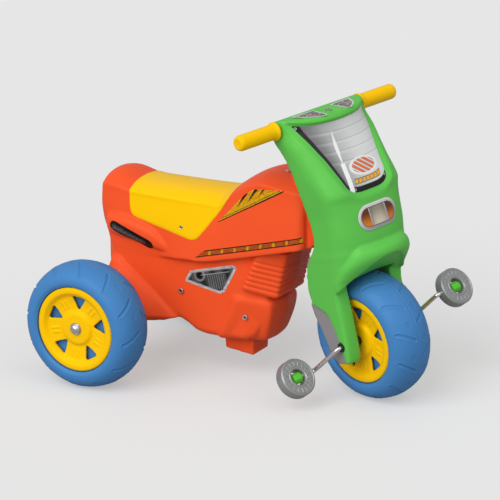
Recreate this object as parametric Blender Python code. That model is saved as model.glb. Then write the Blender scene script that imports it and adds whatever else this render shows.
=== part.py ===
# Pedal motorcycle for a small child: a blow moulded body on two rear wheels, and a raked fork
# with a pedalled front wheel, a fairing and a handlebar.
#
# +X is forward, +Y the rider's left, +Z up, in metres. Sizes are written in millimetres and
# turned into metres by MM. Shapes of the body are given from the rear axle, and shapes of the
# fork in the fork's own frame: origin at the front hub, x forward, y left, z up the steering axis.

import math

import bmesh
import bpy
import numpy as np
from mathutils import Matrix, Vector

MM = 0.001
GAP = 0.3                       # space between pieces that touch

# Driving dimensions
WHEEL_RADIUS = 110.0
TYRE_HALF_WIDTH = 43.0
WHEELBASE = 450.0
REAR_TRACK = 380.0
RAKE = math.radians(16.0)       # the steering axis leans back by this much
STEER_AT_REST = math.radians(-19.0)   # the fork stands turned to the rider's right
FRONT_HUB_Z = 110.7             # a little over the wheel radius, because the turned wheel leans
ORIGIN = Vector((227.4, 0.0, 0.0))    # middle of the footprint, from the rear axle

WALL = 3.0                      # wall of the blow moulded shells
SEAT_WALL = 4.0

# Wheel
TYRE_WALL = 4.0
TYRE_SECTION_POWER = 2.1
TYRE_SECTION_MIDDLE = 82.0      # radius where the section is widest
TYRE_INNER_RADIUS = 68.0
HUB_RADIUS = 74.5
HUB_FACE = 39.0                 # outer face of the rim lip, from the wheel's middle plane
HUB_BARREL = 67.5
HUB_WEB = 30.0
BOSS_FACE = 34.0
WINDOW_RADIUS = 45.0
WHEEL_SIDES = 24
TREAD_SHARE = 0.29              # flat middle of the tread, as a share of the half width
REAR_WINDOW_TURN = math.radians(41.5)    # first window of a wheel's outer side, from straight down
FRONT_WINDOW_TURN = math.radians(25.5)

# Axle, crank and pedals
AXLE_RADIUS = 5.0
HOUSING_END = 141.0             # outer end of the axle housing, from the middle of the vehicle
ROD_RADIUS = 3.8
CRANK_RADIUS = 60.0
CRANK_ANGLE = math.radians(32.0)      # the left crank, above forward
CRANK_SHIFT = 6.5               # the crank has slid this far to the left in its bushes
PEDAL_Y = 150.5
PEDAL_RADIUS = 33.0
PEDAL_THICKNESS = 21.0
PEDAL_HOLE = 13.8
PEDAL_TILT = math.radians(22.0)
CAP_RADIUS = 9.5

# Fork, column and handlebar
LEG_OUTER = 76.0
LEG_INNER = 49.5
WELL_RADIUS = 115.0
CROWN_BOTTOM = 117.5
CROWN_TOP = 161.0
COLUMN_RADIUS = 10.0
COLUMN_TOP = 362.0
HEAD_BOTTOM = 176.0
HEAD_TOP = 280.0
BAR_X = -8.0
BAR_Z = 378.0
BAR_RADIUS = 9.5
GRIP_RADIUS = 13.3
GRIP_INNER = 94.0
GRIP_OUTER = 177.0
PANEL_LIFT = 0.9                # the panels stand this far off the fairing's true curve

COLOURS = {
    "red": (0.86, 0.09, 0.02), "yellow": (1.0, 0.60, 0.01), "green": (0.13, 0.52, 0.08),
    "blue": (0.05, 0.22, 0.55), "steel": (0.62, 0.62, 0.63), "grey": (0.30, 0.30, 0.31),
    "black": (0.02, 0.02, 0.02), "silver": (0.55, 0.56, 0.57), "amber": (0.85, 0.30, 0.03),
}


# Interpolation and small helpers

def smooth(table, x):
    """Value at x on a curve through the (x, value) pairs that never overshoots them."""
    xs, ys = np.array(table, float).T
    steps = np.diff(xs)
    slopes = np.diff(ys) / steps
    tangent = np.zeros_like(ys)
    same_way = slopes[:-1] * slopes[1:] > 0
    weight_a = 2 * steps[1:] + steps[:-1]
    weight_b = steps[1:] + 2 * steps[:-1]
    with np.errstate(divide="ignore", invalid="ignore"):
        mean = (weight_a + weight_b) / (weight_a / slopes[:-1] + weight_b / slopes[1:])
    tangent[1:-1] = np.where(same_way, mean, 0.0)
    tangent[0], tangent[-1] = slopes[0], slopes[-1]
    x = np.clip(x, xs[0], xs[-1])
    i = np.clip(np.searchsorted(xs, x) - 1, 0, len(xs) - 2)
    t = (x - xs[i]) / steps[i]
    return ((1 + 2 * t) * (1 - t) ** 2 * ys[i] + t * (1 - t) ** 2 * steps[i] * tangent[i]
            + t * t * (3 - 2 * t) * ys[i + 1] + t * t * (t - 1) * steps[i] * tangent[i + 1])


def material(name, colour, roughness=0.4, metallic=0.0):
    made = bpy.data.materials.new(name)
    made.use_nodes = True
    shader = made.node_tree.nodes["Principled BSDF"]
    shader.inputs["Base Color"].default_value = (*COLOURS[colour], 1.0)
    shader.inputs["Roughness"].default_value = roughness
    shader.inputs["Metallic"].default_value = metallic
    return made


def add_object(name, mesh, parent, colour=None, roughness=0.4, metallic=0.0):
    obj = bpy.data.objects.new(name, mesh)
    bpy.context.collection.objects.link(obj)
    obj.parent = parent
    if colour:
        mesh.materials.append(material(name, colour, roughness, metallic))
        mesh.shade_smooth()
        mesh.set_sharp_from_angle(angle=math.radians(35))
    else:
        obj.hide_render = True
        obj.display_type = "WIRE"
    return obj


def mesh_from(name, points, faces):
    mesh = bpy.data.meshes.new(name)
    mesh.from_pydata([Vector(p) * MM for p in points], [], faces)
    made = bmesh.new()
    made.from_mesh(mesh)
    bmesh.ops.recalc_face_normals(made, faces=made.faces)
    made.to_mesh(mesh)
    made.free()
    return mesh


def loft(name, rings):
    """Closed skin through rings of equal point count, with a flat cap on each end.

    Every four-cornered patch is split the same way, so that offset skins stay apart."""
    count = len(rings[0])
    points = [p for ring in rings for p in ring]
    faces = [list(range(count)), list(range(len(points) - count, len(points)))]
    for k in range(len(rings) - 1):
        for i in range(count):
            j = (i + 1) % count
            here, beside = k * count + i, k * count + j
            faces += [[here, beside, beside + count], [here, beside + count, here + count]]
    return mesh_from(name, points, faces)


def turned(name, profile, sides, start=0.0):
    """Profile of (radius, y) points, closed on itself, carried round the y axis.

    The flat between the last and the first step is centred on start, an angle from straight down."""
    points, faces = [], []
    for s in range(sides):
        angle = start + 2 * math.pi * (s + 0.5) / sides
        points += [(r * math.sin(angle), y, -r * math.cos(angle)) for r, y in profile]
    count = len(profile)
    for s in range(sides):
        t = (s + 1) % sides
        for i in range(count):
            j = (i + 1) % count
            faces.append([s * count + i, s * count + j, t * count + j, t * count + i])
    return mesh_from(name, points, faces)


def turned_solid(name, profile, sides):
    """Profile of (radius, y) points that starts and ends on the y axis, carried round it."""
    rings = [[(r * math.sin(2 * math.pi * s / sides), y, -r * math.cos(2 * math.pi * s / sides))
              for s in range(sides)] for r, y in profile]
    return loft(name, rings)


def box(name, low, high):
    (x0, y0, z0), (x1, y1, z1) = low, high
    return loft(name, [[(x0, y0, z), (x1, y0, z), (x1, y1, z), (x0, y1, z)] for z in (z0, z1)])


def prism(name, outline, low, high):
    """Side outline of (x, z) points carried across from y = low to y = high."""
    return loft(name, [[(x, y, z) for x, z in outline] for y in (low, high)])


def moved(mesh, matrix):
    mesh.transform(matrix)
    return mesh


def shift(x, y, z):
    return Matrix.Translation(Vector((x, y, z)) * MM)


def boolean(obj, tool, operation):
    modifier = obj.modifiers.new(tool.name, "BOOLEAN")
    modifier.object = tool
    modifier.operation = operation
    modifier.solver = "EXACT"


def cut(obj, mesh):
    boolean(obj, add_object(mesh.name, mesh, obj.parent), "DIFFERENCE")


def join(obj, mesh):
    boolean(obj, add_object(mesh.name, mesh, obj.parent), "UNION")


def empty(name, parent=None, location=(0, 0, 0), rotation=None):
    made = bpy.data.objects.new(name, None)
    bpy.context.collection.objects.link(made)
    made.parent = parent
    made.location = Vector(location) * MM
    if rotation:
        made.rotation_euler = rotation.to_euler()
    return made


# Body: rails that run along the vehicle, each a table of (x, value)

TOP_Z = [(-62, 314), (-57, 330), (-48, 337.5), (-31, 340), (-10, 335), (6, 329), (22, 327), (182, 331),
         (197, 337), (210, 347), (228, 360), (248, 371), (270, 378), (292, 380), (352, 379)]
CREASE_Y = [(-62, 40), (-50, 55), (-28, 58.5), (180, 59), (215, 63), (250, 66), (334, 67), (352, 62)]
CREASE_Z = [(-62, 300), (-50, 319), (-28, 319), (0, 315), (20, 313.5), (182, 312), (200, 324),
            (212, 335), (230, 348), (250, 358), (270, 363), (290, 361), (314, 358), (336, 355),
            (352, 353)]
SIDE_Y = [(-62, 42), (-50, 57), (-20, 62), (120, 66), (200, 70), (300, 73), (338, 72.5),
          (346, 70.5), (352, 64)]
LEDGE_Y = [(-62, 40), (-46, 52), (-25, 59), (60, 62), (105, 72), (200, 75), (330, 75), (341, 74),
           (347, 71.5), (352, 65)]
LEDGE_Z = [(-62, 266), (-56, 252), (-46, 239), (-36, 216), (-20, 205), (60, 205), (105, 209),
           (150, 211.5), (216, 225.8), (269, 239.7), (352, 262)]
BELLY_Z = [(-44, 168), (-40, 122), (-25, 91), (0, 83), (60, 83), (100, 96), (118, 90), (140, 78),
           (160, 75), (225, 76), (250, 83), (262, 106), (268, 138), (280, 172), (296, 210),
           (300, 235)]
LOWER_Y = [(-44, 46), (-28, 57), (0, 60), (230, 61), (268, 48), (300, 42)]
BODY_STATIONS = [-62, -58, -50, -38, -20, 0, 60, 110, 182, 197, 212, 230, 250, 270, 292, 326,
                 344, 352]
SEAT_STATIONS = [-30, 0, 60, 110, 182, 197, 212, 230, 250]
LOWER_STATIONS = [-44, -40, -32, -20, 0, 55, 100, 118, 140, 160, 225, 250, 262, 268, 280, 296, 300]


def upper_ring(x, inset=0.0):
    """Half section of the upper body at x, from the bottom middle over the side to the top."""
    top, crease_y, crease_z = smooth(TOP_Z, x), smooth(CREASE_Y, x), smooth(CREASE_Z, x)
    side_y, ledge_y, ledge_z = smooth(SIDE_Y, x), smooth(LEDGE_Y, x), smooth(LEDGE_Z, x)
    half = [(ledge_y - 14, ledge_z - 3), (ledge_y, ledge_z), (side_y, (crease_z + ledge_z) / 2),
            (crease_y, crease_z), (0.7 * crease_y, crease_z + 0.6 * (top - crease_z)),
            (0.36 * crease_y, crease_z + 0.9 * (top - crease_z))]
    half = [(max(y - inset, 4), z - inset if k > 2 else z + inset * (k < 2)) for k, (y, z) in
            enumerate(half)]
    left = [(x, y, z) for y, z in half]
    right = [(x, -y, z) for y, z in reversed(half)]
    return left + [(x, 0, top - inset)] + right


def lower_ring(x, inset=0.0):
    """Section of the lower body at x, between the belly and a little above the ledge."""
    y, low = smooth(LOWER_Y, x) - inset, smooth(BELLY_Z, x) + inset
    high = smooth(LEDGE_Z, x) + 8
    half = [(y - 14, low), (y, low + min(14, (high - low) / 3)), (y, high)]
    return [(x, a, b) for a, b in half] + [(x, -a, b) for a, b in reversed(half)]


# Root of the axle arm on the body's side as (x, z), and for each point the way it looks from the
# axle at the arm's round end, in degrees above forward
ARM_ROOT = [(102, 98, -22), (80, 118, 5), (56, 138, 30), (26, 160, 55), (-4, 182, 85),
            (-16, 192, 105), (-30, 192, 130), (-40, 168, 155), (-41, 135, 180), (-34, 97, 215),
            (0, 86, 258), (62, 87, 305)]
ARM_STATIONS = [(30, 0), (62, 0), (72, 0.38), (84, 0.66), (100, 0.88), (118, 0.98), (HOUSING_END, 1)]
ARM_END_RADIUS = 30.0


def axle_housing(side):
    """Arm that sweeps in from the body's side to a round end about the axle."""
    rings = []
    for y, share in ARM_STATIONS:
        ring = []
        for x, z, way in ARM_ROOT:
            end_x = ARM_END_RADIUS * math.cos(math.radians(way))
            end_z = WHEEL_RADIUS + ARM_END_RADIUS * math.sin(math.radians(way))
            ring.append((x + share * (end_x - x), side * y, z + share * (end_z - z)))
        rings.append(ring)
    return loft(f"housing_{side}", rings)


def fin_block():
    """Ribbed cylinder block: its sides close in towards the front."""
    bottom = [(232, 66), (236, 68), (292, 48), (295, 20)]
    top = [(262, 66), (273, 68), (309, 48), (313, 20)]
    levels = [(0.0, 160, 172), (1.0, 235, 238)]
    rings = []
    for t, z_front, z_rear in levels:
        ring = []
        for k, ((xb, yb), (xt, yt)) in enumerate(zip(bottom, top)):
            z = z_rear if k < 2 else z_front
            ring.append((xb + t * (xt - xb), yb + t * (yt - yb), z))
        rings.append([(200, 60, z_rear)] + ring + [(x, -y, z) for x, y, z in reversed(ring)]
                     + [(200, -60, z_rear)])
    return loft("fin_block", rings)


def crank_case():
    """Lower engine block, standing a little proud of the body's side."""
    levels = [(75.5, [(178, 50), (188, 60), (262, 33), (266, 0)]),
              (84, [(178, 55), (190, 66), (267, 39), (273, 0)]),
              (145, [(200, 58), (225, 67), (280, 47), (288, 0)]),
              (153, [(200, 56), (229, 62), (276, 43), (284, 0)])]
    rings = [[(x, y, z) for x, y in half] + [(x, -y, z) for x, y in reversed(half[:-1])]
             for z, half in levels]
    return loft("crank_case", rings)


def ground_block():
    """Stub under the engine that stops the body when the vehicle is tipped forward."""
    foot = [(177.5, -27, 46.5), (233.5, -27, 41), (233.5, 27, 41), (177.5, 27, 46.5)]
    root = [(176, -29, 90), (236, -29, 90), (236, 29, 90), (176, 29, 90)]
    return loft("ground_block", [foot, root])


def side_pod(side):
    """Pointed nacelle on the tail's flank."""
    stations = [(-44, 51, 7, 250), (-34, 69, 19, 252), (0, 74, 22, 249.5), (55, 73, 19.5, 237),
                (80, 69, 12, 225), (98, 66, 3.5, 217.5)]
    rings = [[(x, side * y, z + dz) for y, dz in
              ((48, -1.1 * high), (out - 6, -high), (out, -0.5 * high), (out, 0.5 * high),
               (out - 6, high), (48, 1.2 * high))]
             for x, out, high, z in stations]
    return loft(f"side_pod_{side}", rings)


def head_ring(z_share, inset=0.0):
    """Ring of the steering head in the straight-ahead fork frame, round the column."""
    ring = []
    for k in range(24):
        angle = 2 * math.pi * (k + 0.5) / 24
        c, s = math.cos(angle), math.sin(angle)
        reach = 42 if c > 0 else 66
        shrink = 5 * abs(z_share - 0.5) ** 2 * 2
        x = (reach - inset - shrink) * math.copysign(abs(c) ** 0.8, c)
        y = (64 - inset - shrink) * math.copysign(abs(s) ** 0.8, s)
        low, high = HEAD_BOTTOM + inset, HEAD_TOP - 0.287 * x - inset
        ring.append((x, y, low + z_share * (high - low)))
    return ring


def steering_head(name, inset=0.0):
    rings = [head_ring(t, inset) for t in (0.0, 0.12, 0.5, 0.88, 1.0)]
    return moved(loft(name, rings), straight_fork())


def neck():
    """Short throat that closes the space between the flanks and the steering head."""
    outline = [(335, 268), (352, 260), (362, 262), (375, 286), (380, 330), (335, 340)]
    return prism("neck", outline, -57, 57)


def straight_fork():
    return shift(WHEELBASE, 0, FRONT_HUB_Z) @ Matrix.Rotation(-RAKE, 4, "Y")


# Side outline of the saddle's edge, from the rear top round the bottom to the front top
SEAT_OUTLINE = [(5, 360), (6, 316), (8.5, 285), (11, 275), (17, 270.5), (64, 259), (113, 249),
                (134, 245.5), (144, 248), (152, 256), (177, 287), (195, 311), (205, 326), (209, 360)]


def build_body(frame):
    body = add_object("body_shell", loft("body_shell", [upper_ring(x) for x in BODY_STATIONS]),
                      frame, "red", 0.35)
    join(body, loft("lower_body", [lower_ring(x) for x in LOWER_STATIONS]))
    join(body, steering_head("steering_head"))
    for side in (-1, 1):
        join(body, axle_housing(side))
        join(body, side_pod(side))
    for mesh in (fin_block(), crank_case(), ground_block(), neck()):
        join(body, mesh)
    inner_stations = [-44, -20, 0, 60, 110, 182, 204, 234, 268, 306, 340]
    cavity = add_object("cavity", loft("cavity", [upper_ring(x, WALL + SEAT_WALL)
                                                  for x in inner_stations]), frame)
    join(cavity, loft("lower_cavity", [lower_ring(x, WALL)
                                       for x in (-36, -20, 0, 100, 140, 225, 250, 262, 280)]))
    join(cavity, steering_head("head_cavity", WALL))
    boolean(body, cavity, "DIFFERENCE")

    recess = add_object("seat_recess", prism("seat_recess", SEAT_OUTLINE, -90, 90), frame)
    cut(recess, loft("seat_bed", [upper_ring(x, SEAT_WALL + GAP) for x in SEAT_STATIONS]))
    boolean(body, recess, "DIFFERENCE")

    cut(body, moved(turned_solid("axle_bore", [(7.5, -160), (7.5, 160)], 16),
                    shift(0, 0, WHEEL_RADIUS)))
    column = turned_solid("head_bore", [(14, 150), (14, 330)], 20)
    cut(body, moved(column, straight_fork() @ Matrix.Rotation(math.radians(90), 4, "X")))
    return body


def build_seat(frame):
    seat = add_object("seat", loft("seat", [upper_ring(x) for x in SEAT_STATIONS[1:-1]]), frame,
                      "yellow", 0.3)
    cut(seat, loft("seat_underside", [upper_ring(x, SEAT_WALL) for x in SEAT_STATIONS]))
    edge = [(x + GAP * (1 if x < 60 else -1), z + GAP) for x, z in SEAT_OUTLINE]
    boolean(seat, add_object("seat_edge", prism("seat_edge", edge, -90, 90), frame), "INTERSECT")
    return seat


# Wheels

def tyre_profile():
    """Hollow channel section open towards the hub, with a seat for the rim lip each side."""
    high = WHEEL_RADIUS - TYRE_SECTION_MIDDLE
    low = TYRE_SECTION_MIDDLE - TYRE_INNER_RADIUS
    shares = (0.55, 0.79, 0.94, 1.0)

    def arc(half_width, height, share):
        rise = (1 - share ** TYRE_SECTION_POWER) ** (1 / TYRE_SECTION_POWER)
        return (TYRE_SECTION_MIDDLE + height * rise, half_width * share)

    outer = [(WHEEL_RADIUS, TYRE_HALF_WIDTH * TREAD_SHARE)]
    outer += [arc(TYRE_HALF_WIDTH, high, share) for share in shares]
    outer.append(arc(TYRE_HALF_WIDTH, -low, 0.93))
    inner = [(TYRE_INNER_RADIUS, 28.5), (TYRE_INNER_RADIUS + 10, 31)]
    inner += [arc(TYRE_HALF_WIDTH - TYRE_WALL, high - TYRE_WALL, share) for share in reversed(shares)]
    seat = HUB_RADIUS + 0.6
    half = outer + [(seat, 39.6), (seat, 34.6), (TYRE_INNER_RADIUS, 34.6)] + inner
    flats = 1 / math.cos(math.pi / WHEEL_SIDES)
    half = [(r * flats, y) for r, y in half]
    return half + [(r, -y) for r, y in reversed(half)]


def hub_profile(bore):
    """Half hub: rim lip, barrel, dished web and boss, as (radius, y) from the middle plane."""
    return [(bore, 0.3), (bore, BOSS_FACE), (28, BOSS_FACE), (31, HUB_WEB), (59, HUB_WEB),
            (62.5, HUB_FACE), (HUB_RADIUS - 1.5, HUB_FACE), (HUB_RADIUS, 35), (HUB_BARREL, 35),
            (HUB_BARREL, 0.3), (HUB_BARREL - 3, 0.3), (HUB_BARREL - 6, HUB_WEB - 3),
            (bore + 8, HUB_WEB - 3), (bore + 7, 0.3)]


def window_mesh(name, angle):
    """Rounded three-cornered window through the web, its point towards the boss."""
    corners = [(WINDOW_RADIUS - 13, 0), (WINDOW_RADIUS + 10, 15), (WINDOW_RADIUS + 10, -15)]
    outline = []
    for k, corner in enumerate(corners):
        before, after = corners[k - 1], corners[(k + 1) % 3]
        for t in (-0.25, 0.25):
            other = before if t < 0 else after
            outline.append((corner[0] + abs(t) * (other[0] - corner[0]),
                            corner[1] + abs(t) * (other[1] - corner[1])))
    rings = [[(r * math.sin(angle) + s * math.cos(angle), y,
               -(r * math.cos(angle) - s * math.sin(angle))) for r, s in outline]
             for y in (HUB_WEB - 10, HUB_WEB + 10)]
    return loft(name, rings)


def build_wheel(label, frame, bore, halves, first_window, ground_angle=0.0):
    """Tyre and two half hubs about the frame's y axis."""
    tyre = turned(f"tyre_{label}", tyre_profile(), WHEEL_SIDES, ground_angle)
    add_object(f"tyre_{label}", tyre, frame, "blue", 0.5)
    for name, side in halves:
        turn = Matrix.Rotation(math.pi if side < 0 else 0.0, 4, "Z")
        hub = add_object(f"hub_{label}_{name}",
                         moved(turned(f"hub_{label}_{name}", hub_profile(bore), 18), turn), frame,
                         "yellow", 0.35)
        for k in range(5):
            window = window_mesh(f"window_{label}_{name}_{k}",
                                 side * first_window + 2 * math.pi * k / 5)
            cut(hub, moved(window, turn))


def ring_mesh(name, inner, outer, low, high, sides=16):
    return turned(name, [(inner, low), (outer, low), (outer, high), (inner, high)], sides)


def build_rear_axle(frame):
    length = REAR_TRACK / 2 + BOSS_FACE
    axle = turned_solid("rear_axle", [(AXLE_RADIUS, -length - 5), (AXLE_RADIUS, length + 5)], 16)
    add_object("rear_axle", axle, frame, "steel", 0.3, 1.0)
    for label, side in (("right", -1), ("left", 1)):
        turn = Matrix.Rotation(math.pi if side < 0 else 0.0, 4, "Z")
        bush = turned(f"axle_bush_{label}", [
            (AXLE_RADIUS + GAP, 112), (7.2, 112), (7.2, HOUSING_END + GAP), (13, HOUSING_END + GAP),
            (13, 153.5), (AXLE_RADIUS + GAP, 153.5)], 16)
        washer = ring_mesh(f"axle_washer_{label}", AXLE_RADIUS + GAP, 11, length + GAP, length + 1.6)
        cap = turned_solid(f"axle_cap_{label}", [
            (AXLE_RADIUS + GAP, length + 5.4), (AXLE_RADIUS + GAP, length + 1.9),
            (9.5, length + 1.9), (9.5, length + 3.5), (7.5, length + 6), (4, length + 7.6)], 16)
        for mesh, colour, metal in ((bush, "black", 0), (washer, "steel", 1), (cap, "steel", 1)):
            add_object(mesh.name, moved(mesh, turn), frame, colour, 0.3, metal)


# Fork: sections of the fairing across the steering axis. Each row is the height, the rear edge,
# where the side starts to round into the front, the front, the half width and the roundness.
FAIRING = [
    (-30, 4, 6, 11, 74, 4), (-26, 3, 6, 13.5, 76, 4), (0, 0, 9.4, 18, 76, 5), (40, -8, 10, 21, 76, 5),
    (58, -15, 10, 22, 76.5, 5), (80, -45, 10, 26, 77, 4), (92, -45, 12, 40, 77.5, 3.5),
    (106, -44, 16, 57, 78, 3), (120, -41, 20, 76, 78, 2.7), (132, -37, 24, 90, 78.5, 2.5),
    (143, -31, 26, 97, 78.5, 2.4), (155, -22, 28, 99, 79, 2.4), (165, -12, 30, 92, 78.5, 2.4),
    (175, -4, 34, 86, 78.5, 2.4), (190, 1, 38, 84, 78.5, 2.5), (215, 2, 40, 84, 79, 2.6),
    (240, 1, 40, 82, 81.5, 3.0), (252, 1, 40, 83, 83, 3.3), (270, 0, 32, 79, 85, 3.1),
    (288, 0, 22, 72.5, 87, 2.9), (315, -4, 14, 62.5, 89, 2.7), (341, -12, 4, 54, 91.5, 2.5),
    (358, -20, -8, 51, 93, 2.3), (370, -24, -15, 50, 94, 2.2), (388, -25, -15, 49, 94, 2.2),
    (400, -25, -14, 46, 92, 2.2)]
DASH_Z = 393.6                  # height of the dash over the steering axis
DASH_SLOPE = 0.225              # it falls by this much for each millimetre forward
DASH_WALL = 3.5
DASH_RECESS = 1.5
SCREEN_DEPTH = 5.0              # the screen lies in a tray this deep
SCREEN_SPANS = [(254, 0.38), (258, 0.345), (264, 0.33), (288, 0.30), (315, 0.27), (341, 0.245),
                (364, 0.225), (371, 0.22)]


def fairing_section(z):
    heights = [row[0] for row in FAIRING]
    return [smooth(list(zip(heights, column)), z) for column in list(zip(*FAIRING))[1:]]


def fairing_point(z, t, inset=0.0):
    """Point of the fairing's outer face: t runs 0 to 1 from the right side round to the left."""
    rear, start, front, half, power = fairing_section(z)
    angle = math.pi * (t - 0.5)
    c, s = max(math.cos(angle), 0.0), math.sin(angle)
    x = start + (front - inset - start) * c ** (2 / power)
    y = (half - inset) * math.copysign(abs(s) ** (2 / power), s)
    return (x, y, z)


def fairing_ring(z, inset=0.0, behind=0.0, front_limit=1000.0):
    rear, _, _, half, _ = fairing_section(z)
    arc = [fairing_point(z, k / 12, inset) for k in range(13)]
    arc = [(min(x, front_limit), y, z) for x, y, z in arc]
    back = rear - behind
    return [(back, -(half - inset), z)] + arc + [(back, half - inset, z)]


def wheel_well(name, half_width):
    """Room for the tyre between the legs, open to the front under the fender lip."""
    roof = [(WELL_RADIUS * math.cos(math.radians(a)), WELL_RADIUS * math.sin(math.radians(a)))
           for a in range(80, 271, 10)]
    outline = [(120, -130), (120, 140), (95, 134), (60, 122)] + roof + [(0, -130)]
    return prism(name, outline, -half_width, half_width)


def across(mesh):
    """Turns a shape made round the y axis so that it stands up the steering axis."""
    return moved(mesh, Matrix.Rotation(math.radians(90), 4, "X"))


def dash_z(x, below=0.0):
    return DASH_Z - DASH_SLOPE * x - below


def above_dash(name, below):
    """Everything over the sloped plane of the dash, lowered by below."""
    outline = [(-60, dash_z(-60, below)), (90, dash_z(90, below)), (90, 440), (-60, 440)]
    return prism(name, outline, -120, 120)


def screen_tray():
    """What is taken away over the screen and a margin of slope round it."""
    rings, margin = [], 0.02
    for z, t0 in [(249, 0.42)] + SCREEN_SPANS + [(376, 0.22)]:
        ts = [t0 - margin] + [t0 + (1 - 2 * t0) * k / 6 for k in range(7)] + [1 - t0 + margin]
        outside = [fairing_point(z, t, -12) for t in ts]
        floor = [fairing_point(z, t, SCREEN_DEPTH) for t in reversed(ts)]
        rings.append(outside + floor)
    return loft("screen_tray", rings)


def build_fairing(fork):
    rings = [fairing_ring(row[0]) for row in FAIRING]
    fairing = add_object("fork_fairing", loft("fork_fairing", rings), fork, "green", 0.35)
    heights = [CROWN_BOTTOM - 1, 130, 150, 162, 175, 190, 215, 240, 252, 288, 315, 341, 370, 396]
    cavity = [fairing_ring(z, WALL + (SCREEN_DEPTH if z > 230 else 0), 40,
                           36 if z < 165 else 1000) for z in heights]
    room = add_object("fairing_cavity", loft("fairing_cavity", cavity), fork)
    cut(room, above_dash("cavity_top", DASH_WALL))
    boolean(fairing, room, "DIFFERENCE")
    cut(fairing, above_dash("fairing_top", 0.0))
    cut(fairing, screen_tray())
    cut(fairing, box("crown_room", (-70, -74.2, 50), (-2.5, 74.2, 135)))
    cut(fairing, wheel_well("front_well", LEG_INNER))
    cut(fairing, turned_solid("axle_room", [(8.0, -90), (8.0, 90)], 16))
    cut(fairing, moved(turned_solid("bar_room", [(BAR_RADIUS + GAP, -110), (BAR_RADIUS + GAP, 110)],
                                    16), shift(BAR_X, 0, BAR_Z)))
    recess = [(9, dash_z(9, DASH_RECESS)), (43, dash_z(43, DASH_RECESS)), (43, 420), (9, 420)]
    cut(fairing, prism("dash_recess", recess, -10, 10))


def build_fork_back(fork):
    outline = [(3.3, -30), (-18, -30), (-27, -22), (-34, -5), (-40, 25), (-50, 55), (-52, 76),
               (-41, 84), (-41, 140), (-30, 156), (-18, CROWN_TOP), (26, CROWN_TOP),
               (28, CROWN_BOTTOM), (-3, CROWN_BOTTOM), (-3, 50.5), (-13, 50.5), (-9, 40), (-0.8, 0)]
    back = add_object("fork_back", prism("fork_back", outline, -73, 73), fork, "grey", 0.45)
    cut(back, wheel_well("back_well", LEG_INNER))
    cut(back, turned_solid("back_axle_room", [(8.0, -90), (8.0, 90)], 16))
    cut(back, across(turned_solid("column_bore", [(COLUMN_RADIUS + GAP, 100),
                                                  (COLUMN_RADIUS + GAP, 180)], 16)))


def build_column(fork):
    column = across(ring_mesh("steering_column", 7.5, COLUMN_RADIUS, CROWN_BOTTOM, COLUMN_TOP))
    add_object("steering_column", column, fork, "steel", 0.35, 1.0)
    outline = [(-22, 340), (14, 340), (14, 386), (0, 389.3), (-8, 390.4), (-22, 390.4)]
    clamp = add_object("bar_clamp", prism("bar_clamp", outline, -17, 17), fork, "grey", 0.5)
    cut(clamp, across(turned_solid("clamp_socket", [(COLUMN_RADIUS + GAP, 330),
                                                    (COLUMN_RADIUS + GAP, 363)], 16)))
    cut(clamp, moved(turned_solid("clamp_bore", [(BAR_RADIUS + GAP, -30), (BAR_RADIUS + GAP, 30)],
                                  16), shift(BAR_X, 0, BAR_Z)))
    bar = ring_mesh("handlebar_tube", 8.0, BAR_RADIUS, -168, 168)
    add_object("handlebar_tube", moved(bar, shift(BAR_X, 0, BAR_Z)), fork, "steel", 0.35, 1.0)
    for label, side in (("right", -1), ("left", 1)):
        turn = Matrix.Rotation(math.pi if side < 0 else 0.0, 4, "Z")
        grip = turned_solid(f"grip_{label}", [
            (BAR_RADIUS + GAP, 169), (BAR_RADIUS + GAP, GRIP_INNER + GAP),
            (16.4, GRIP_INNER + GAP), (16.8, GRIP_INNER + 2.5), (16.2, GRIP_INNER + 5),
            (GRIP_RADIUS, GRIP_INNER + 6), (GRIP_RADIUS, GRIP_OUTER - 5),
            (GRIP_RADIUS - 1.5, GRIP_OUTER - 1.5), (GRIP_RADIUS - 5, GRIP_OUTER)], 20)
        add_object(f"grip_{label}", moved(grip, shift(BAR_X, 0, BAR_Z) @ turn), fork, "yellow", 0.35)
    screw = across(ring_mesh("dash_screw", 2.2, 5.5, GAP, GAP + 1.6, 12))
    tilt = Matrix.Rotation(math.atan(DASH_SLOPE), 4, "Y")
    screw = moved(screw, shift(24, 0, dash_z(24, DASH_RECESS)) @ tilt)
    add_object("dash_screw", screw, fork, "steel", 0.3, 1.0)


def patch(name, spans, thickness, depth, fork, colour, roughness):
    """Thin plate that follows the fairing at a depth below its face, with a span (height, first t)
    for each row; the last t mirrors the first."""
    rings = []
    for z, t0 in spans:
        ts = [t0 + (1 - 2 * t0) * k / 6 for k in range(7)]
        outer = [fairing_point(z, t, depth - PANEL_LIFT - thickness) for t in ts]
        inner = [fairing_point(z, t, depth - PANEL_LIFT) for t in reversed(ts)]
        rings.append(outer + inner)
    add_object(name, loft(name, rings), fork, colour, roughness)


def build_panels(fork):
    patch("windscreen", SCREEN_SPANS, 1.0, SCREEN_DEPTH, fork, "silver", 0.25)
    lamp = ((188.5, 0.444), (192, 0.397), (199, 0.376), (209, 0.37), (219, 0.376), (226, 0.397),
            (229.5, 0.444))
    patch("headlight", lamp, 1.2, 0.0, fork, "amber", 0.2)


# Crank, bushes and pedals

def crank_path():
    """Middle line of the rod from the right pedal through the hub to the left pedal."""
    out_x, out_z = CRANK_RADIUS * math.cos(CRANK_ANGLE), CRANK_RADIUS * math.sin(CRANK_ANGLE)
    half = []
    for y, share in ((0, 0), (84, 0), (87, 0.02), (91, 0.10), (106, 0.88), (109.5, 0.975),
                     (114, 1), (PEDAL_Y + 5, 1)):
        half.append((share * out_x, y, share * out_z))
    path = [(-x, -y, -z) for x, y, z in reversed(half[1:])] + half
    return [(x, y + CRANK_SHIFT, z) for x, y, z in path]


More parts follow.
